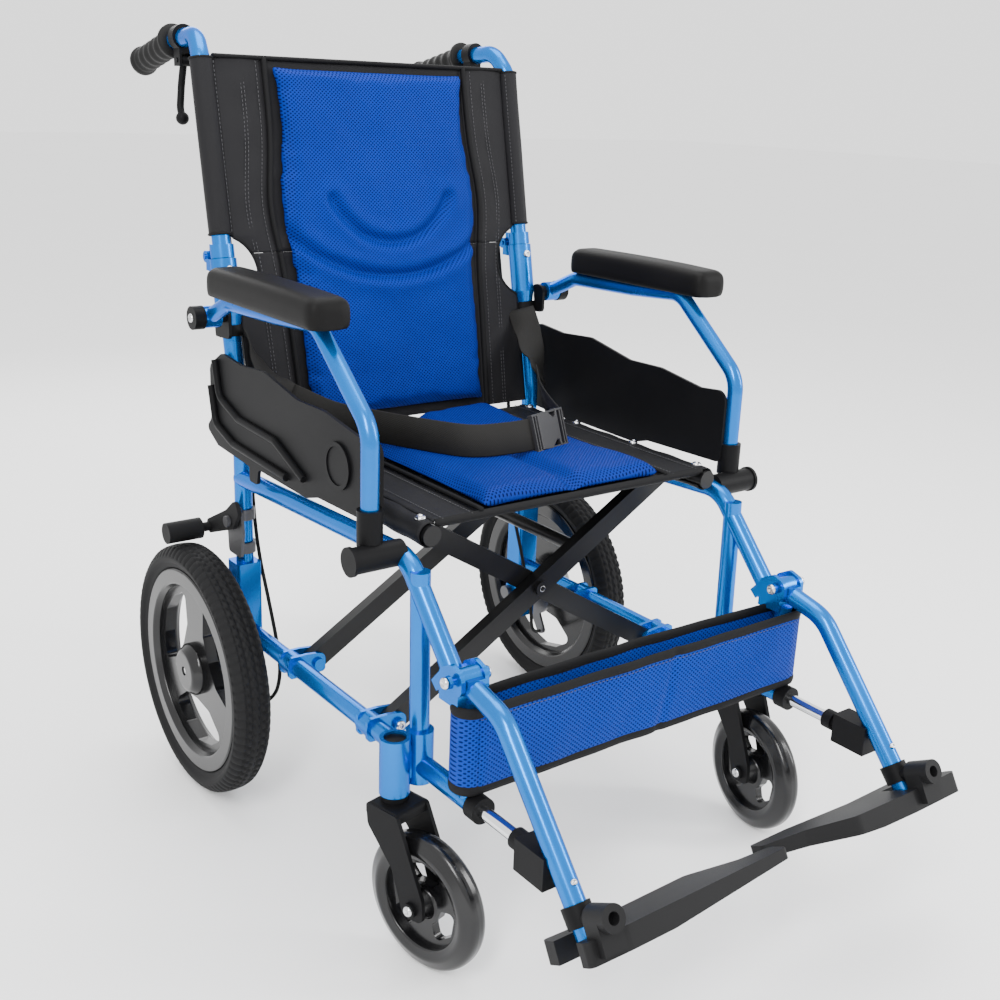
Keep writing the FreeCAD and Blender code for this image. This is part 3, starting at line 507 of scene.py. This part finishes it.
def screw(at, out, radius=0.0055, height=0.0032):
    """Domed screw head with a round recess."""
    profile = [(-0.0008, radius * 0.98), (0.0, radius), (height * 0.35, radius * 0.98),
               (height * 0.75, radius * 0.8), (height, radius * 0.52)]
    head = turned("screw", profile, at, out, STEEL, 24)
    mesh = bmesh.new()
    mesh.from_mesh(head.data)
    cap = max(mesh.faces, key=lambda f: f.calc_center_median().dot(Vector(out)) + len(f.verts) * 0.001)
    inner = bmesh.ops.inset_individual(mesh, faces=[cap], thickness=radius * 0.12)["faces"]
    for vertex in cap.verts:
        vertex.co -= Vector(out).normalized() * height * 0.6
    mesh.to_mesh(head.data)
    mesh.free()
    return head


def fixings(name, spots, on, radius=0.0055):
    heads = [screw(at, out, radius) for at, out in spots]
    piece = merged(name, heads)
    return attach(piece, on)


# ---- seat: nylon sling over the two rails and a mesh pad with sewn channels ------------------------
SEAT_FRONT, SEAT_BACK = SEAT_LOW.y + 0.003, SEAT_HIGH.y - 0.003
SLING_Z = RAIL_Z + TUBE_R + 0.0022
PAD_HALF = 0.133


def sling_point(u, v):
    x = (2 * v - 1) * (RAIL_X - 0.004)
    y = SEAT_FRONT + 0.004 + u * (SEAT_BACK - SEAT_FRONT - 0.008)
    sag = 0.003 * math.cos(x / RAIL_X * math.pi / 2)
    return Vector((x, y, SLING_Z - sag + ripple((x, y, 1), 0.03, 0.0008)))


seat_sling = surface("seat_sling", sling_point, 60, 64, 0.0022, NYLON_SEAT)


SEAT_ROWS, SEAT_COLUMNS = 26, 20


def seat_blank_point(z, i, j):
    v = 2 * j / (SEAT_COLUMNS - 1) - 1
    y = SEAT_FRONT - 0.001 + (SEAT_BACK - SEAT_FRONT - 0.007) * i / (SEAT_ROWS - 1)
    return Vector((v * (PAD_HALF - 0.003), y, z))


def on_sling(p):
    """Rest the underside on the sling, sew the middle channel down and roll the front edge over."""
    if p.z > SLING_Z + 0.006:
        p.z -= 0.0095 * math.exp(-(p.x / 0.010) ** 2) * min(1, (p.z - SLING_Z) / 0.012)
        p.z += ripple((p.x, p.y, 3), 0.045, 0.0022)
    p.z = max(p.z, SLING_Z + 0.0014)
    rolled = max(0.0, SEAT_FRONT + 0.016 - p.y) / 0.020
    p.z -= 0.011 * rolled ** 2
    return p


seat_pad = swell(blank("seat_pad", seat_blank_point, (SLING_Z + 0.0018, SLING_Z + 0.0105), SEAT_ROWS,
                       SEAT_COLUMNS, MESH_SEAT), 0.008, on_sling)
for side, sign in SIDES:
    edge = [(sign * PAD_HALF, SEAT_FRONT + 0.002 + k * (SEAT_BACK - SEAT_FRONT - 0.006) / 40,
             SLING_Z + 0.0035) for k in range(41)]
    piping = sweep(f"seat_piping_{side}", edge, ring(0.0028, 10), BINDING, across=(1, 0, 0))
    sewn = stitches(f"seat_stitching_{side}",
                    [(sign * (PAD_HALF + 0.012), p[1], SLING_Z + 0.0014) for p in edge], (0, 0, 1))
    hem = stitches(f"seat_hem_stitching_{side}",
                   [(sign * (RAIL_X - 0.016), p[1], SLING_Z + 0.0016) for p in edge], (0, 0, 1))
    for piece in (piping, sewn, hem):
        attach(piece, body("seat_cushion"))
        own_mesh(piece)
front_hem = surface("seat_front_hem", lambda u, v: Vector((
    (2 * v - 1) * (RAIL_X - 0.006), SEAT_FRONT + 0.004 - 0.0035 * math.sin(math.pi * u),
    SLING_Z + 0.002 - 0.009 * u)), 8, 48, 0.0016, BINDING)
for piece in (seat_sling, seat_pad, front_hem):
    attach(piece, body("seat_cushion"))
    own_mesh(piece)
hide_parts("seat_cushion")

for (side, sign), brace in zip(SIDES, ("brace_to_right_rail", "brace_to_left_rail")):
    def wrap(u, v):
        angle = math.radians(112 - 262 * v)
        radius = TUBE_R + 0.0019 + 0.0005 * math.sin(40 * u + 3 * v)
        y = SEAT_FRONT + 0.002 + u * (SEAT_BACK - SEAT_FRONT - 0.004)
        return Vector((sign * (RAIL_X + radius * math.cos(angle)), y, RAIL_Z + radius * math.sin(angle)))

    sleeve = surface(f"seat_sleeve_{side}", wrap, 60, 26, 0.0016, NYLON_SEAT)
    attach(sleeve, body(brace))
    ys = [SEAT_FRONT + s * (SEAT_BACK - SEAT_FRONT) for s in (0.05, 0.36, 0.67, 0.95)]
    spots = [((sign * (RAIL_X + 0.001), y, RAIL_Z + TUBE_R + 0.0026), (0, 0, 1)) for y in ys]
    fixings(f"seat_rail_screws_{side}", spots, body(brace), 0.006)

# ---- back: mesh pad with two sewn arcs between black nylon bands that sleeve the tubes -------------
BACK_LOW, BACK_TOP = 0.462, 0.908
PANEL_AHEAD = 0.003                                     # sling ahead of the tubes' centre plane
FOLD_Z, FOLD_GAP = 0.6805, 0.0002                       # the back is split here, and half the gap left
SLEEVE_LOW = 0.7035
BACK_ROWS, BACK_COLUMNS = 34, 24
# centre, radius, first and last angle of the two sewn arcs
SMILES = [(Vector((0.008, 0.785)), 0.095, 205, 335), (Vector((0.008, 0.880)), 0.232, 227, 313)]


def pad_half(z):
    """Half width of the mesh pad at a height: fullest just above the fold."""
    return 0.146 + 0.010 * math.exp(-((z - 0.735) / 0.06) ** 2) - 0.004 * max(0.0, 0.60 - z) / 0.12


def back_blank_point(ahead, i, j):
    z = BACK_LOW + 0.004 + (BACK_TOP - BACK_LOW - 0.007) * i / (BACK_ROWS - 1)
    return back_point((2 * j / (BACK_COLUMNS - 1) - 1) * (pad_half(z) - 0.003), z, ahead)


def arc_distance(x, z, arc):
    centre, radius, first, last = arc
    offset = Vector((x, z)) - centre
    angle = math.degrees(math.atan2(offset.y, offset.x)) % 360
    if first <= angle <= last:
        return abs(offset.length - radius)
    ends = [centre + radius * Vector((math.cos(math.radians(a)), math.sin(math.radians(a))))
            for a in (first, last)]
    return min((Vector((x, z)) - end).length for end in ends)


def on_panel(p):
    """Rest the pad on the sling behind it, and sew its arcs in."""
    ahead = (p - back_point(p.x, p.z, 0)).dot(BACK_AHEAD)
    if ahead > PANEL_AHEAD + 0.006:
        for arc in SMILES:
            d = arc_distance(p.x, p.z, arc)
            p = p + BACK_AHEAD * (0.0022 * math.exp(-((d - 0.014) / 0.009) ** 2)
                                  - 0.0085 * math.exp(-(d / 0.0055) ** 2))
        p = p + BACK_AHEAD * (ripple((p.x, 5, p.z), 0.055, 0.0022) + ripple((p.x, 9, p.z), 0.018, 0.0006))
        ahead = (p - back_point(p.x, p.z, 0)).dot(BACK_AHEAD)
    return p + BACK_AHEAD * max(0.0, PANEL_AHEAD + 0.0014 - ahead)


back_pad = swell(blank("back_pad", back_blank_point, (PANEL_AHEAD + 0.002, PANEL_AHEAD + 0.010), BACK_ROWS,
                       BACK_COLUMNS, MESH_BACK), 0.009, on_panel)


def band_point(sign, low, high):
    """A nylon band from under the pad's edge to the tube."""
    def place(u, v):
        z = low + (high - low) * u
        inner = pad_half(z) - 0.004
        x = inner + (band_outer(z) - inner) * v
        crease = ripple((sign * x, 2, z), 0.04, 0.0022) + ripple((x, 7, z * 0.4), 0.012, 0.0008)
        ahead = PANEL_AHEAD + 0.0018 * math.sin(math.pi * v) + crease * math.sin(math.pi * v)
        return back_point(sign * x, z, ahead)
    return place


def band_outer(z):
    """Outer edge of the band: against the tube, or round the opening beside the hinge."""
    reach = 1 - ((z - 0.655) / 0.048) ** 2
    return 0.2125 if reach <= 0 else min(0.2125, TUBE_X - 0.044 * math.sqrt(reach))


def sling_halves(name, low, high, on):
    """The sling and bands between two heights, as one nylon sheet, with bindings and stitching."""
    pieces = []
    sheet = surface(f"{name}_sling", lambda u, v: back_point(
        (2 * v - 1) * (pad_half(low + (high - low) * u) + 0.004), low + (high - low) * u,
        PANEL_AHEAD - 0.0008 + ripple((v, u, low), 0.2, 0.0012)), 40, 40, 0.0018, NYLON)
    pieces.append(sheet)
    for side, sign in SIDES:
        band = surface(f"{name}_band_{side}", band_point(sign, low, high), 90, 18, 0.0020, NYLON)
        pieces.append(band)
        heights = [low + (high - low) * k / 60 for k in range(61)]
        piping = [back_point(sign * (pad_half(z) + 0.001), z, PANEL_AHEAD + 0.0035) for z in heights]
        cord = sweep(f"{name}_piping_{side}", piping, ring(0.0036, 10), BINDING, across=(1, 0, 0))
        pieces.append(cord)
        for offset in (0.012, 0.030, 0.034):
            line = [back_point(sign * (pad_half(z) + offset), z, PANEL_AHEAD + 0.0028) for z in heights
                    if pad_half(z) + offset < band_outer(z) - 0.004]
            pieces.append(stitches(f"{name}_stitching_{side}_{round(offset * 1000)}", line, BACK_AHEAD))
        rim = [back_point(sign * band_outer(z), z, PANEL_AHEAD) for z in heights if 0.604 < z < 0.7045]
        if len(rim) > 3:
            pieces.append(sweep(f"{name}_opening_binding_{side}", rim, ring(0.0022, 8), BINDING,
                                across=(0, 1, 0)))
    for piece in pieces:
        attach(piece, on)
        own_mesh(piece)
    return pieces


SPLIT = back_point(0, FOLD_Z, PANEL_AHEAD)
UPPER, LOWER = body("back_panel_upper"), body("back_panel_lower")
pad_upper = cut(copy_of(back_pad, "back_pad_upper"), SPLIT, BACK_UP, True)
pad_lower = cut(back_pad, SPLIT, BACK_UP, False)
pad_lower.name = "back_pad_lower"
upper = sling_halves("back_upper", FOLD_Z + FOLD_GAP, BACK_TOP, UPPER)
lower = sling_halves("back_lower", BACK_LOW, FOLD_Z - FOLD_GAP, LOWER)
for pad, on in ((pad_upper, UPPER), (pad_lower, LOWER)):
    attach(pad, on)
    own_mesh(pad)
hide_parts("back_panel_upper")
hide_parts("back_panel_lower")

top_edge = [back_point(x * MM, BACK_TOP - 0.001, PANEL_AHEAD + 0.001) for x in range(-212, 213, 8)]
binding = sweep("back_top_binding", top_edge, [(a * 1.3, b * 0.7) for a, b in ring(0.0042, 10)], BINDING,
                across=tuple(BACK_AHEAD))
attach(binding, UPPER)
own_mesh(binding)


def skirt_point(u, v):
    """Gusset of nylon behind the fold, which covers the gap as the back swings down."""
    angle = math.radians(97 * u)
    spoke = SPLIT - HINGE
    spoke.x = 0
    turned_spoke = Matrix.Rotation(-angle, 3, "X") @ (spoke - spoke.normalized() * 0.0016)
    return Vector(((2 * v - 1) * 0.172, HINGE.y, HINGE.z)) + turned_spoke


gusset = surface("fold_gusset", skirt_point, 24, 40, 0.0010, NYLON)
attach(gusset, LOWER)
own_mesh(gusset)

for side, sign in SIDES:
    def sleeve_point(u, v):
        z = SLEEVE_LOW + (BACK_TOP - 0.003 - SLEEVE_LOW) * u
        angle = 2 * math.pi * v
        radius = TUBE_R + 0.0022 + ripple((math.cos(angle), math.sin(angle), z * 9), 0.8, 0.0010)
        centre = back_point(sign * TUBE_X, z, 0)
        return centre + radius * (Vector((1, 0, 0)) * math.cos(angle) + BACK_AHEAD * math.sin(angle))

    sleeve = surface(f"back_sleeve_{side}", sleeve_point, 60, 33, 0.0014, NYLON)
    lips = [sweep("lip", [back_point(sign * TUBE_X, z, 0) + (TUBE_R + 0.0024) * (
        Vector((1, 0, 0)) * math.cos(a * math.pi / 16) + BACK_AHEAD * math.sin(a * math.pi / 16))
        for a in range(32)], ring(0.0016, 8), BINDING, closed=True)
        for z in (SLEEVE_LOW + 0.001, BACK_TOP - 0.004)]
    lip = merged(f"sleeve_binding_{side}", lips)
    line = [back_point(sign * (TUBE_X - 0.0105), 0.706 + k * 0.005, 0.0105) for k in range(40)]
    sewn = stitches(f"sleeve_stitching_{side}", line, BACK_AHEAD)
    for piece in (sleeve, lip, sewn):
        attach(piece, body(f"back_tube_{side}"))
    fixings(f"fold_socket_screws_{side}", [(back_point(sign * TUBE_X, 0.662, 0.016), BACK_AHEAD)],
            body(f"frame_{side}"))

# ---- lap belt --------------------------------------------------------------------------------------
BUCKLE_AT = middle("belt_buckle")
BELT_WIDTH = 0.038
BELT_Z = SEAT_HIGH.z + 0.004 + BELT_WIDTH / 2
TILT = Vector((0, 0.42, 1)).normalized()                # the webbing stands on its edge and leans back
right_run = curve_through([(-0.186, 0.168, BELT_Z + 0.022), (-0.150, 0.128, BELT_Z + 0.004),
                           (-0.119, 0.079, BELT_Z), (-0.084, 0.006, BELT_Z), (-0.056, -0.033, BELT_Z),
                           (-0.010, -0.044, BELT_Z), (0.029, -0.0428, BELT_Z)])
left_run = curve_through([(0.085, -0.028, BELT_Z), (0.105, 0.012, BELT_Z), (0.148, 0.092, BELT_Z + 0.002),
                          (0.178, 0.142, BELT_Z + 0.018)])
right_tail = curve_through([(-0.2105, 0.232, 0.590), (-0.206, 0.212, 0.560), (-0.197, 0.190, 0.532),
                            (-0.186, 0.168, BELT_Z + 0.022)])
left_tail = curve_through([(0.178, 0.142, BELT_Z + 0.018), (0.193, 0.172, 0.528), (0.205, 0.200, 0.556),
                           (0.2105, 0.230, 0.590)])
WEBBING_SECTION = flat(BELT_WIDTH, 0.0022)
belt_runs = [sweep(name, run, WEBBING_SECTION, WEBBING, across=tuple(TILT))
             for name, run in (("lap_belt_right", right_run), ("lap_belt_left", left_run))]
tails = [sweep(f"lap_belt_tail_{side}", run, WEBBING_SECTION, WEBBING, across=(0, 0.75, 0.75))
         for side, run in (("R", right_tail), ("L", left_tail))]
for piece in belt_runs:
    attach(piece, body("lap_belt"))
    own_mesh(piece)
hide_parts("lap_belt")
for piece, (side, _) in zip(tails, SIDES):
    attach(piece, body(f"frame_{side}"))


def oblong(left, right, bottom, top):
    return [(left, bottom), (right, bottom), (right, top), (left, top)]


def moulded(name, outline, depth, centre, across, up, material, bevel=0.0014):
    """A flat outline given depth and soft edges, standing in the plane of two directions."""
    across, up = Vector(across).normalized(), Vector(up).normalized()
    out = across.cross(up)
    count = len(outline)
    points = [Vector(centre) + across * a + up * b + out * d
              for d in (-depth / 2, depth / 2) for a, b in outline]
    faces = [tuple(reversed(range(count))), tuple(count + k for k in range(count))]
    faces += [(k, (k + 1) % count, count + (k + 1) % count, count + k) for k in range(count)]
    obj = make(name, points, faces, material, False)
    soft = obj.modifiers.new("edges", "BEVEL")
    soft.width, soft.segments, soft.limit_method = bevel, 3, "ANGLE"
    return bake(obj)


run_dir = Vector((1, 0.268, 0)).normalized()
buckle_centre = Vector((BUCKLE_AT.x, BUCKLE_AT.y, BELT_Z))
buckle_shell = [(-0.006, -0.023), (-0.002, -0.019), (0.004, -0.014), (0.008, -0.0145), (0.010, -0.023),
                (0.013, -0.024), (0.013, 0.024), (0.010, 0.023), (0.008, 0.0145), (0.004, 0.014),
                (-0.002, 0.019), (-0.006, 0.023), (-0.026, 0.021), (-0.026, -0.021)]
shell = moulded("shell", buckle_shell, 0.0105, buckle_centre, run_dir, TILT, BUCKLE)
bars = [moulded("bar", oblong(a - 0.0011, a + 0.0011, -0.021, 0.021), 0.0085, buckle_centre, run_dir, TILT,
                BUCKLE, 0.0007) for a in (-0.0335, -0.0285, 0.0195, 0.024)]
rails = [moulded("rail", oblong(-0.035, 0.026, b - 0.0014, b + 0.0014), 0.008, buckle_centre, run_dir, TILT,
                 BUCKLE, 0.0007) for b in (-0.0215, 0.0215)]
buckle = merged("side_release_buckle", [shell, *bars, *rails])
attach(buckle, body("belt_buckle"))
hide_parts("belt_buckle")

# ---- calf strap: a loop of spacer mesh round the two front posts -----------------------------------
CALF_LOW, CALF_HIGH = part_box("calf_strap")
CALF_Y = (CALF_LOW.y + CALF_HIGH.y) / 2
LOOP_R = (CALF_HIGH.y - CALF_LOW.y) / 2 - 0.002
LOOP_X = CALF_HIGH.x - LOOP_R - 0.002


def loop(v, sag):
    """Plan of the loop: two straight runs and a half turn round each post."""
    straight, bend = 2 * LOOP_X, math.pi * LOOP_R
    s = v * 2 * (straight + bend)
    if s < straight:
        x = -LOOP_X + s
        dip = math.sin(math.pi * s / straight)
        return x, CALF_Y - LOOP_R + sag * dip, dip
    s -= straight
    if s < bend:
        a = -math.pi / 2 + s / LOOP_R
        return LOOP_X + LOOP_R * math.cos(a), CALF_Y + LOOP_R * math.sin(a), 0
    s -= bend
    if s < straight:
        dip = math.sin(math.pi * s / straight)
        return LOOP_X - s, CALF_Y + LOOP_R - 0.2 * sag * dip, -dip
    a = math.pi / 2 + (s - straight) / LOOP_R
    return -LOOP_X + LOOP_R * math.cos(a), CALF_Y + LOOP_R * math.sin(a), 0


def calf_point(u, v):
    x, y, dip = loop(v, 0.006)
    z = CALF_LOW.z + 0.002 + u * (CALF_HIGH.z - CALF_LOW.z - 0.004) - 0.004 * dip
    crease = 0.0022 * math.exp(-((x - 0.02 - 0.02 * u) / 0.006) ** 2) if dip > 0 else 0
    belly = 0.0025 * math.sin(math.pi * u) if dip > 0 else 0
    return Vector((x, y - belly + crease + ripple((x, y, z), 0.05, 0.0025) * abs(dip), z))


calf = surface("calf_strap_mesh", calf_point, 24, 240, 0.0036, MESH_CALF)
bindings = []
for u, label in ((0.0, "lower"), (1.0, "upper")):
    path = [calf_point(u, k / 240) for k in range(240)]
    bindings.append(sweep(f"calf_strap_binding_{label}", path, [(a * 2.6, b) for a, b in ring(0.0026, 10)],
                          BINDING, closed=True, across=(0, 0, 1)))
bindings.append(stitches("calf_strap_stitching", [calf_point(0.93, k / 480) + Vector((0, -0.002, 0))
                                                  for k in range(0, 226)], (0, -1, 0)))
for piece in (calf, *bindings):
    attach(piece, body("calf_strap"))
    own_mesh(piece)
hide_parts("calf_strap")

# ---- armrest pads: moulded foam with rounded edges -------------------------------------------------
for side, _ in SIDES:
    pad = copy_of(nodes[f"arm_pad_{side}"], f"armrest_foam_{side}")
    pad.parent = None
    for key in [k for k in pad.keys() if k.startswith("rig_")]:
        del pad[key]
    voxels = pad.modifiers.new("voxels", "REMESH")
    voxels.mode, voxels.voxel_size = "VOXEL", 0.004
    soft = pad.modifiers.new("smooth", "SMOOTH")
    soft.factor, soft.iterations = 0.5, 6
    bake(pad)
    refined(pad)
    low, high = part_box(f"arm_pad_{side}")
    for vertex in pad.data.vertices:
        s = (vertex.co.y - low.y) / (high.y - low.y)
        crown = math.sin(math.pi * min(max(s, 0), 1))
        if vertex.co.z > (low.z + high.z) / 2:
            vertex.co.z += 0.0015 * crown - 0.003 * max(0, 0.25 - s)
    pad.data.polygons.foreach_set("use_smooth", [True] * len(pad.data.polygons))
    pad.data.materials.clear()
    pad.data.materials.append(FOAM)
    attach(pad, body(f"arm_pad_{side}"))
    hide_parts(f"arm_pad_{side}")

# ---- tyres with moulded tread ----------------------------------------------------------------------
HALF_TYRE = [(-17, 133.2), (-19, 138.5), (-22.8, 143), (-23.8, 147), (-22, 152), (-18.5, 156.5), (-15, 159.6),
             (-11, 160.8), (-7, 161.4), (-3, 161.7), (0, 161.7)]   # mm along the axle and from it
TYRE_PROFILE = HALF_TYRE + [(-a, r) for a, r in reversed(HALF_TYRE[:-1])]
for side, _ in SIDES:
    hub = middle(f"rear_tyre_{side}")
    lugs, per = 84, 6
    fine = []
    for (a, r), (b, q) in zip(TYRE_PROFILE, TYRE_PROFILE[1:]):
        fine += [(a + (b - a) * t / 3, r + (q - r) * t / 3) for t in range(3)]
    fine.append(TYRE_PROFILE[-1])
    around = lugs * per
    points = []
    for along, radius in fine:
        shoulder = abs(along) / 24
        for k in range(around):
            zigzag = (0 if abs(along) < 4.5 else 2.2 if abs(along) < 11 else 0.8) * (1 if along > 0 else -1)
            phase = (k + zigzag) % per
            groove = 1.9 if phase < 1.9 and abs(along) > 1.2 and radius > 149 else 0.0
            if radius > 152 and (abs(abs(along) - 5.0) < 0.9 or abs(abs(along) - 12.5) < 0.9):
                groove = 1.7
            angle = 2 * math.pi * k / around
            r = (radius - groove) * MM
            points.append(hub + Vector((along * MM, r * math.cos(angle), r * math.sin(angle))))
    faces = quads(len(fine), around, True)
    faces += [((len(fine) - 1) * around + k, (len(fine) - 1) * around + (k + 1) % around, (k + 1) % around, k)
              for k in range(around)]
    tyre = make(f"treaded_tyre_{side}", points, faces, RUBBER)
    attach(tyre, body(f"rear_tyre_{side}"))
    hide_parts(f"rear_tyre_{side}")

# ---- push grips with finger ridges -----------------------------------------------------------------
for side, sign in SIDES:
    start, end = Vector((sign * 0.217, 0.392, 0.926)), Vector((sign * 0.215, 0.504, 0.9009))
    axis = (end - start).normalized()
    profile = [(0.004, 0.0115), (0.0042, 0.0195), (0.006, 0.0208), (0.010, 0.0208), (0.012, 0.0175),
               (0.015, 0.0158)]
    for k in range(64):
        s = 0.017 + k * 0.0014
        profile.append((s, 0.0153 + 0.0011 * math.cos(k * 2 * math.pi / 12.8)))
    profile += [(0.109, 0.0160), (0.1115, 0.0178), (0.114, 0.0184), (0.1175, 0.0182), (0.1188, 0.0150),
                (0.1190, 0.006)]
    grip = turned(f"ribbed_grip_{side}", profile, start, axis, GRIP, 40)
    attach(grip, body(f"grip_{side}"))
    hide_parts(f"grip_{side}")

# ---- brake cables: one run above the back fold and one below it ------------------------------------
CABLE_RUNS = {                                          # length in metres, then the route in mm
    "upper": (0.238, [(201, 370, 898), (200, 360, 868), (203, 312, 815), (204, 285, 700), (204, 280.5, 677)]),
    "lower": (0.615, [(204, 280.2, 675.4), (204, 239, 480), (204, 235, 330), (203, 188, 225), (203, 164, 158),
                      (214, 174, 112), (252, 202, 97)]),
}
for label, (length, route) in CABLE_RUNS.items():
    for side, sign in SIDES:
        curve = bpy.data.curves.new(f"cable_{label}_{side}", "CURVE")
        curve.dimensions, curve.bevel_depth, curve.bevel_resolution = "3D", 0.0025, 3
        spline = curve.splines.new("NURBS")
        spline.points.add(len(route) - 1)
        for point, (x, y, z) in zip(spline.points, route):
            point.co = (sign * x * MM, y * MM, z * MM, 1)
        spline.order_u, spline.use_endpoint_u, spline.resolution_u = 3, True, 12
        curve.materials.append(RUBBER)
        cable = bpy.data.objects.new(f"cable_{label}_{side}", curve)
        scene.collection.objects.link(cable)
        x, y, z = route[0]
        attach(cable, body(f"brake_cable_{label}_{side}"))
        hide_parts(f"brake_cable_{label}_{side}")

# ---- screws, bolts and pin heads -------------------------------------------------------------------
FORWARD = Vector((0, -1, 0))
BUTTON_OUT = Vector((0, -0.7542, 0.6566))               # square to the hanger tube, forward and up
SWIVEL = {"R": math.radians(12.6), "L": math.radians(-8.8)}
BRACE_BOLT_Y = {"R": -0.1112, "L": -0.0952}
for side, sign in SIDES:
    out = Vector((sign, 0, 0))
    clevis = Vector((sign * 0.2545, -0.276, 0.341))
    fixings(f"hanger_pin_heads_{side}", [(clevis, out), (Vector((sign * 0.2045, -0.276, 0.341)), -out)],
            body(f"hanger_{side}"), 0.0062)
    button = Vector((sign * 0.228, -0.4397, 0.2028)) + BUTTON_OUT * 0.0106
    fixings(f"hanger_button_{side}", [(button, BUTTON_OUT)], body(f"hanger_{side}"), 0.0034)
    panel_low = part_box(f"side_panel_{side}")[0]
    fixings(f"side_panel_screws_{side}", [(Vector((sign * 0.2482, panel_low.y + 0.016, z)), out)
                                          for z in (0.478, 0.530)], body(f"side_panel_{side}"), 0.0045)
    pivot_low, pivot_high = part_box(f"arm_pivot_{side}")
    end_x = pivot_low.x if sign < 0 else pivot_high.x
    fixings(f"armrest_pivot_screw_{side}", [(Vector((end_x, 0.226, 0.613)), out)],
            body(f"arm_pivot_{side}"), 0.0055)
    wheel = middle(f"caster_wheel_{side}")
    axle = Vector((math.cos(SWIVEL[side]), math.sin(SWIVEL[side]), 0))
    fixings(f"caster_bolts_{side}", [(wheel + axle * 0.028 * s, axle * s) for s in (-1, 1)],
            body(f"caster_fork_{side}"), 0.0058)
    fixings(f"axle_cap_{side}", [(Vector((sign * 0.304, 0.229, 0.1617)), out)],
            body(f"rear_axle_{side}"), 0.0068)
    fixings(f"brace_bolt_heads_{side}", [(Vector((sign * 0.198, BRACE_BOLT_Y[side], 0.206)), FORWARD)],
            body(f"brace_bracket_{side}"), 0.0058)
fixings("brace_centre_bolt", [(Vector((0, -0.1035, 0.326)), FORWARD)], body("brace_to_left_rail"), 0.0062)

# ---- floor, light and camera -----------------------------------------------------------------------
bpy.ops.mesh.primitive_plane_add(size=40, location=(0, 0, -0.0004))
floor = bpy.context.object
floor.name = "floor"
paper = Finish("pale_floor", (0.86, 0.86, 0.86), 0.75)
paper.blend(paper.noise(1.5, 2.0), (0.93, 0.93, 0.93), (0.95, 0.95, 0.95))
floor.data.materials.append(paper.mat)

world = bpy.data.worlds.new("studio")
scene.world = world
world.use_nodes = True
world.node_tree.nodes["Background"].inputs["Color"].default_value = (1, 1, 1, 1)
world.node_tree.nodes["Background"].inputs["Strength"].default_value = 1.8


def softbox(name, at, target, size, power):
    light = bpy.data.lights.new(name, "AREA")
    light.shape, light.size, light.size_y, light.energy = "RECTANGLE", size[0], size[1], power
    lamp = bpy.data.objects.new(name, light)
    lamp.location = at
    lamp.rotation_euler = (Vector(target) - Vector(at)).to_track_quat("-Z", "Y").to_euler()
    scene.collection.objects.link(lamp)


softbox("key", (-1.9, -1.6, 2.4), (0, 0, 0.5), (0.5, 1.8), 80)
softbox("fill", (2.2, -1.8, 1.6), (0, 0, 0.5), (0.4, 1.8), 50)
softbox("top", (0.2, 0.3, 2.8), (0, 0, 0.4), (1.6, 1.6), 45)
softbox("rim", (0.6, 2.4, 1.6), (0, 0, 0.6), (1.6, 1.2), 25)

# the camera that matches the photograph
AZIMUTH, ELEVATION, ROLL = -0.6499, 0.3128, 0.0395
camera_data = bpy.data.cameras.new("camera")
camera_data.lens, camera_data.sensor_width = 45.35, 36.0
camera = bpy.data.objects.new("camera", camera_data)
back = Vector((math.sin(AZIMUTH) * math.cos(ELEVATION), -math.cos(AZIMUTH) * math.cos(ELEVATION),
               math.sin(ELEVATION)))
right0 = (-back).cross(Vector((0, 0, 1))).normalized()
up0 = right0.cross(-back)
right = math.cos(ROLL) * right0 + math.sin(ROLL) * up0
up = -math.sin(ROLL) * right0 + math.cos(ROLL) * up0
camera.matrix_world = Matrix((right, up, back)).transposed().to_4x4()
camera.location = (-0.8769, -1.1705, 0.8793)
scene.collection.objects.link(camera)
scene.camera = camera
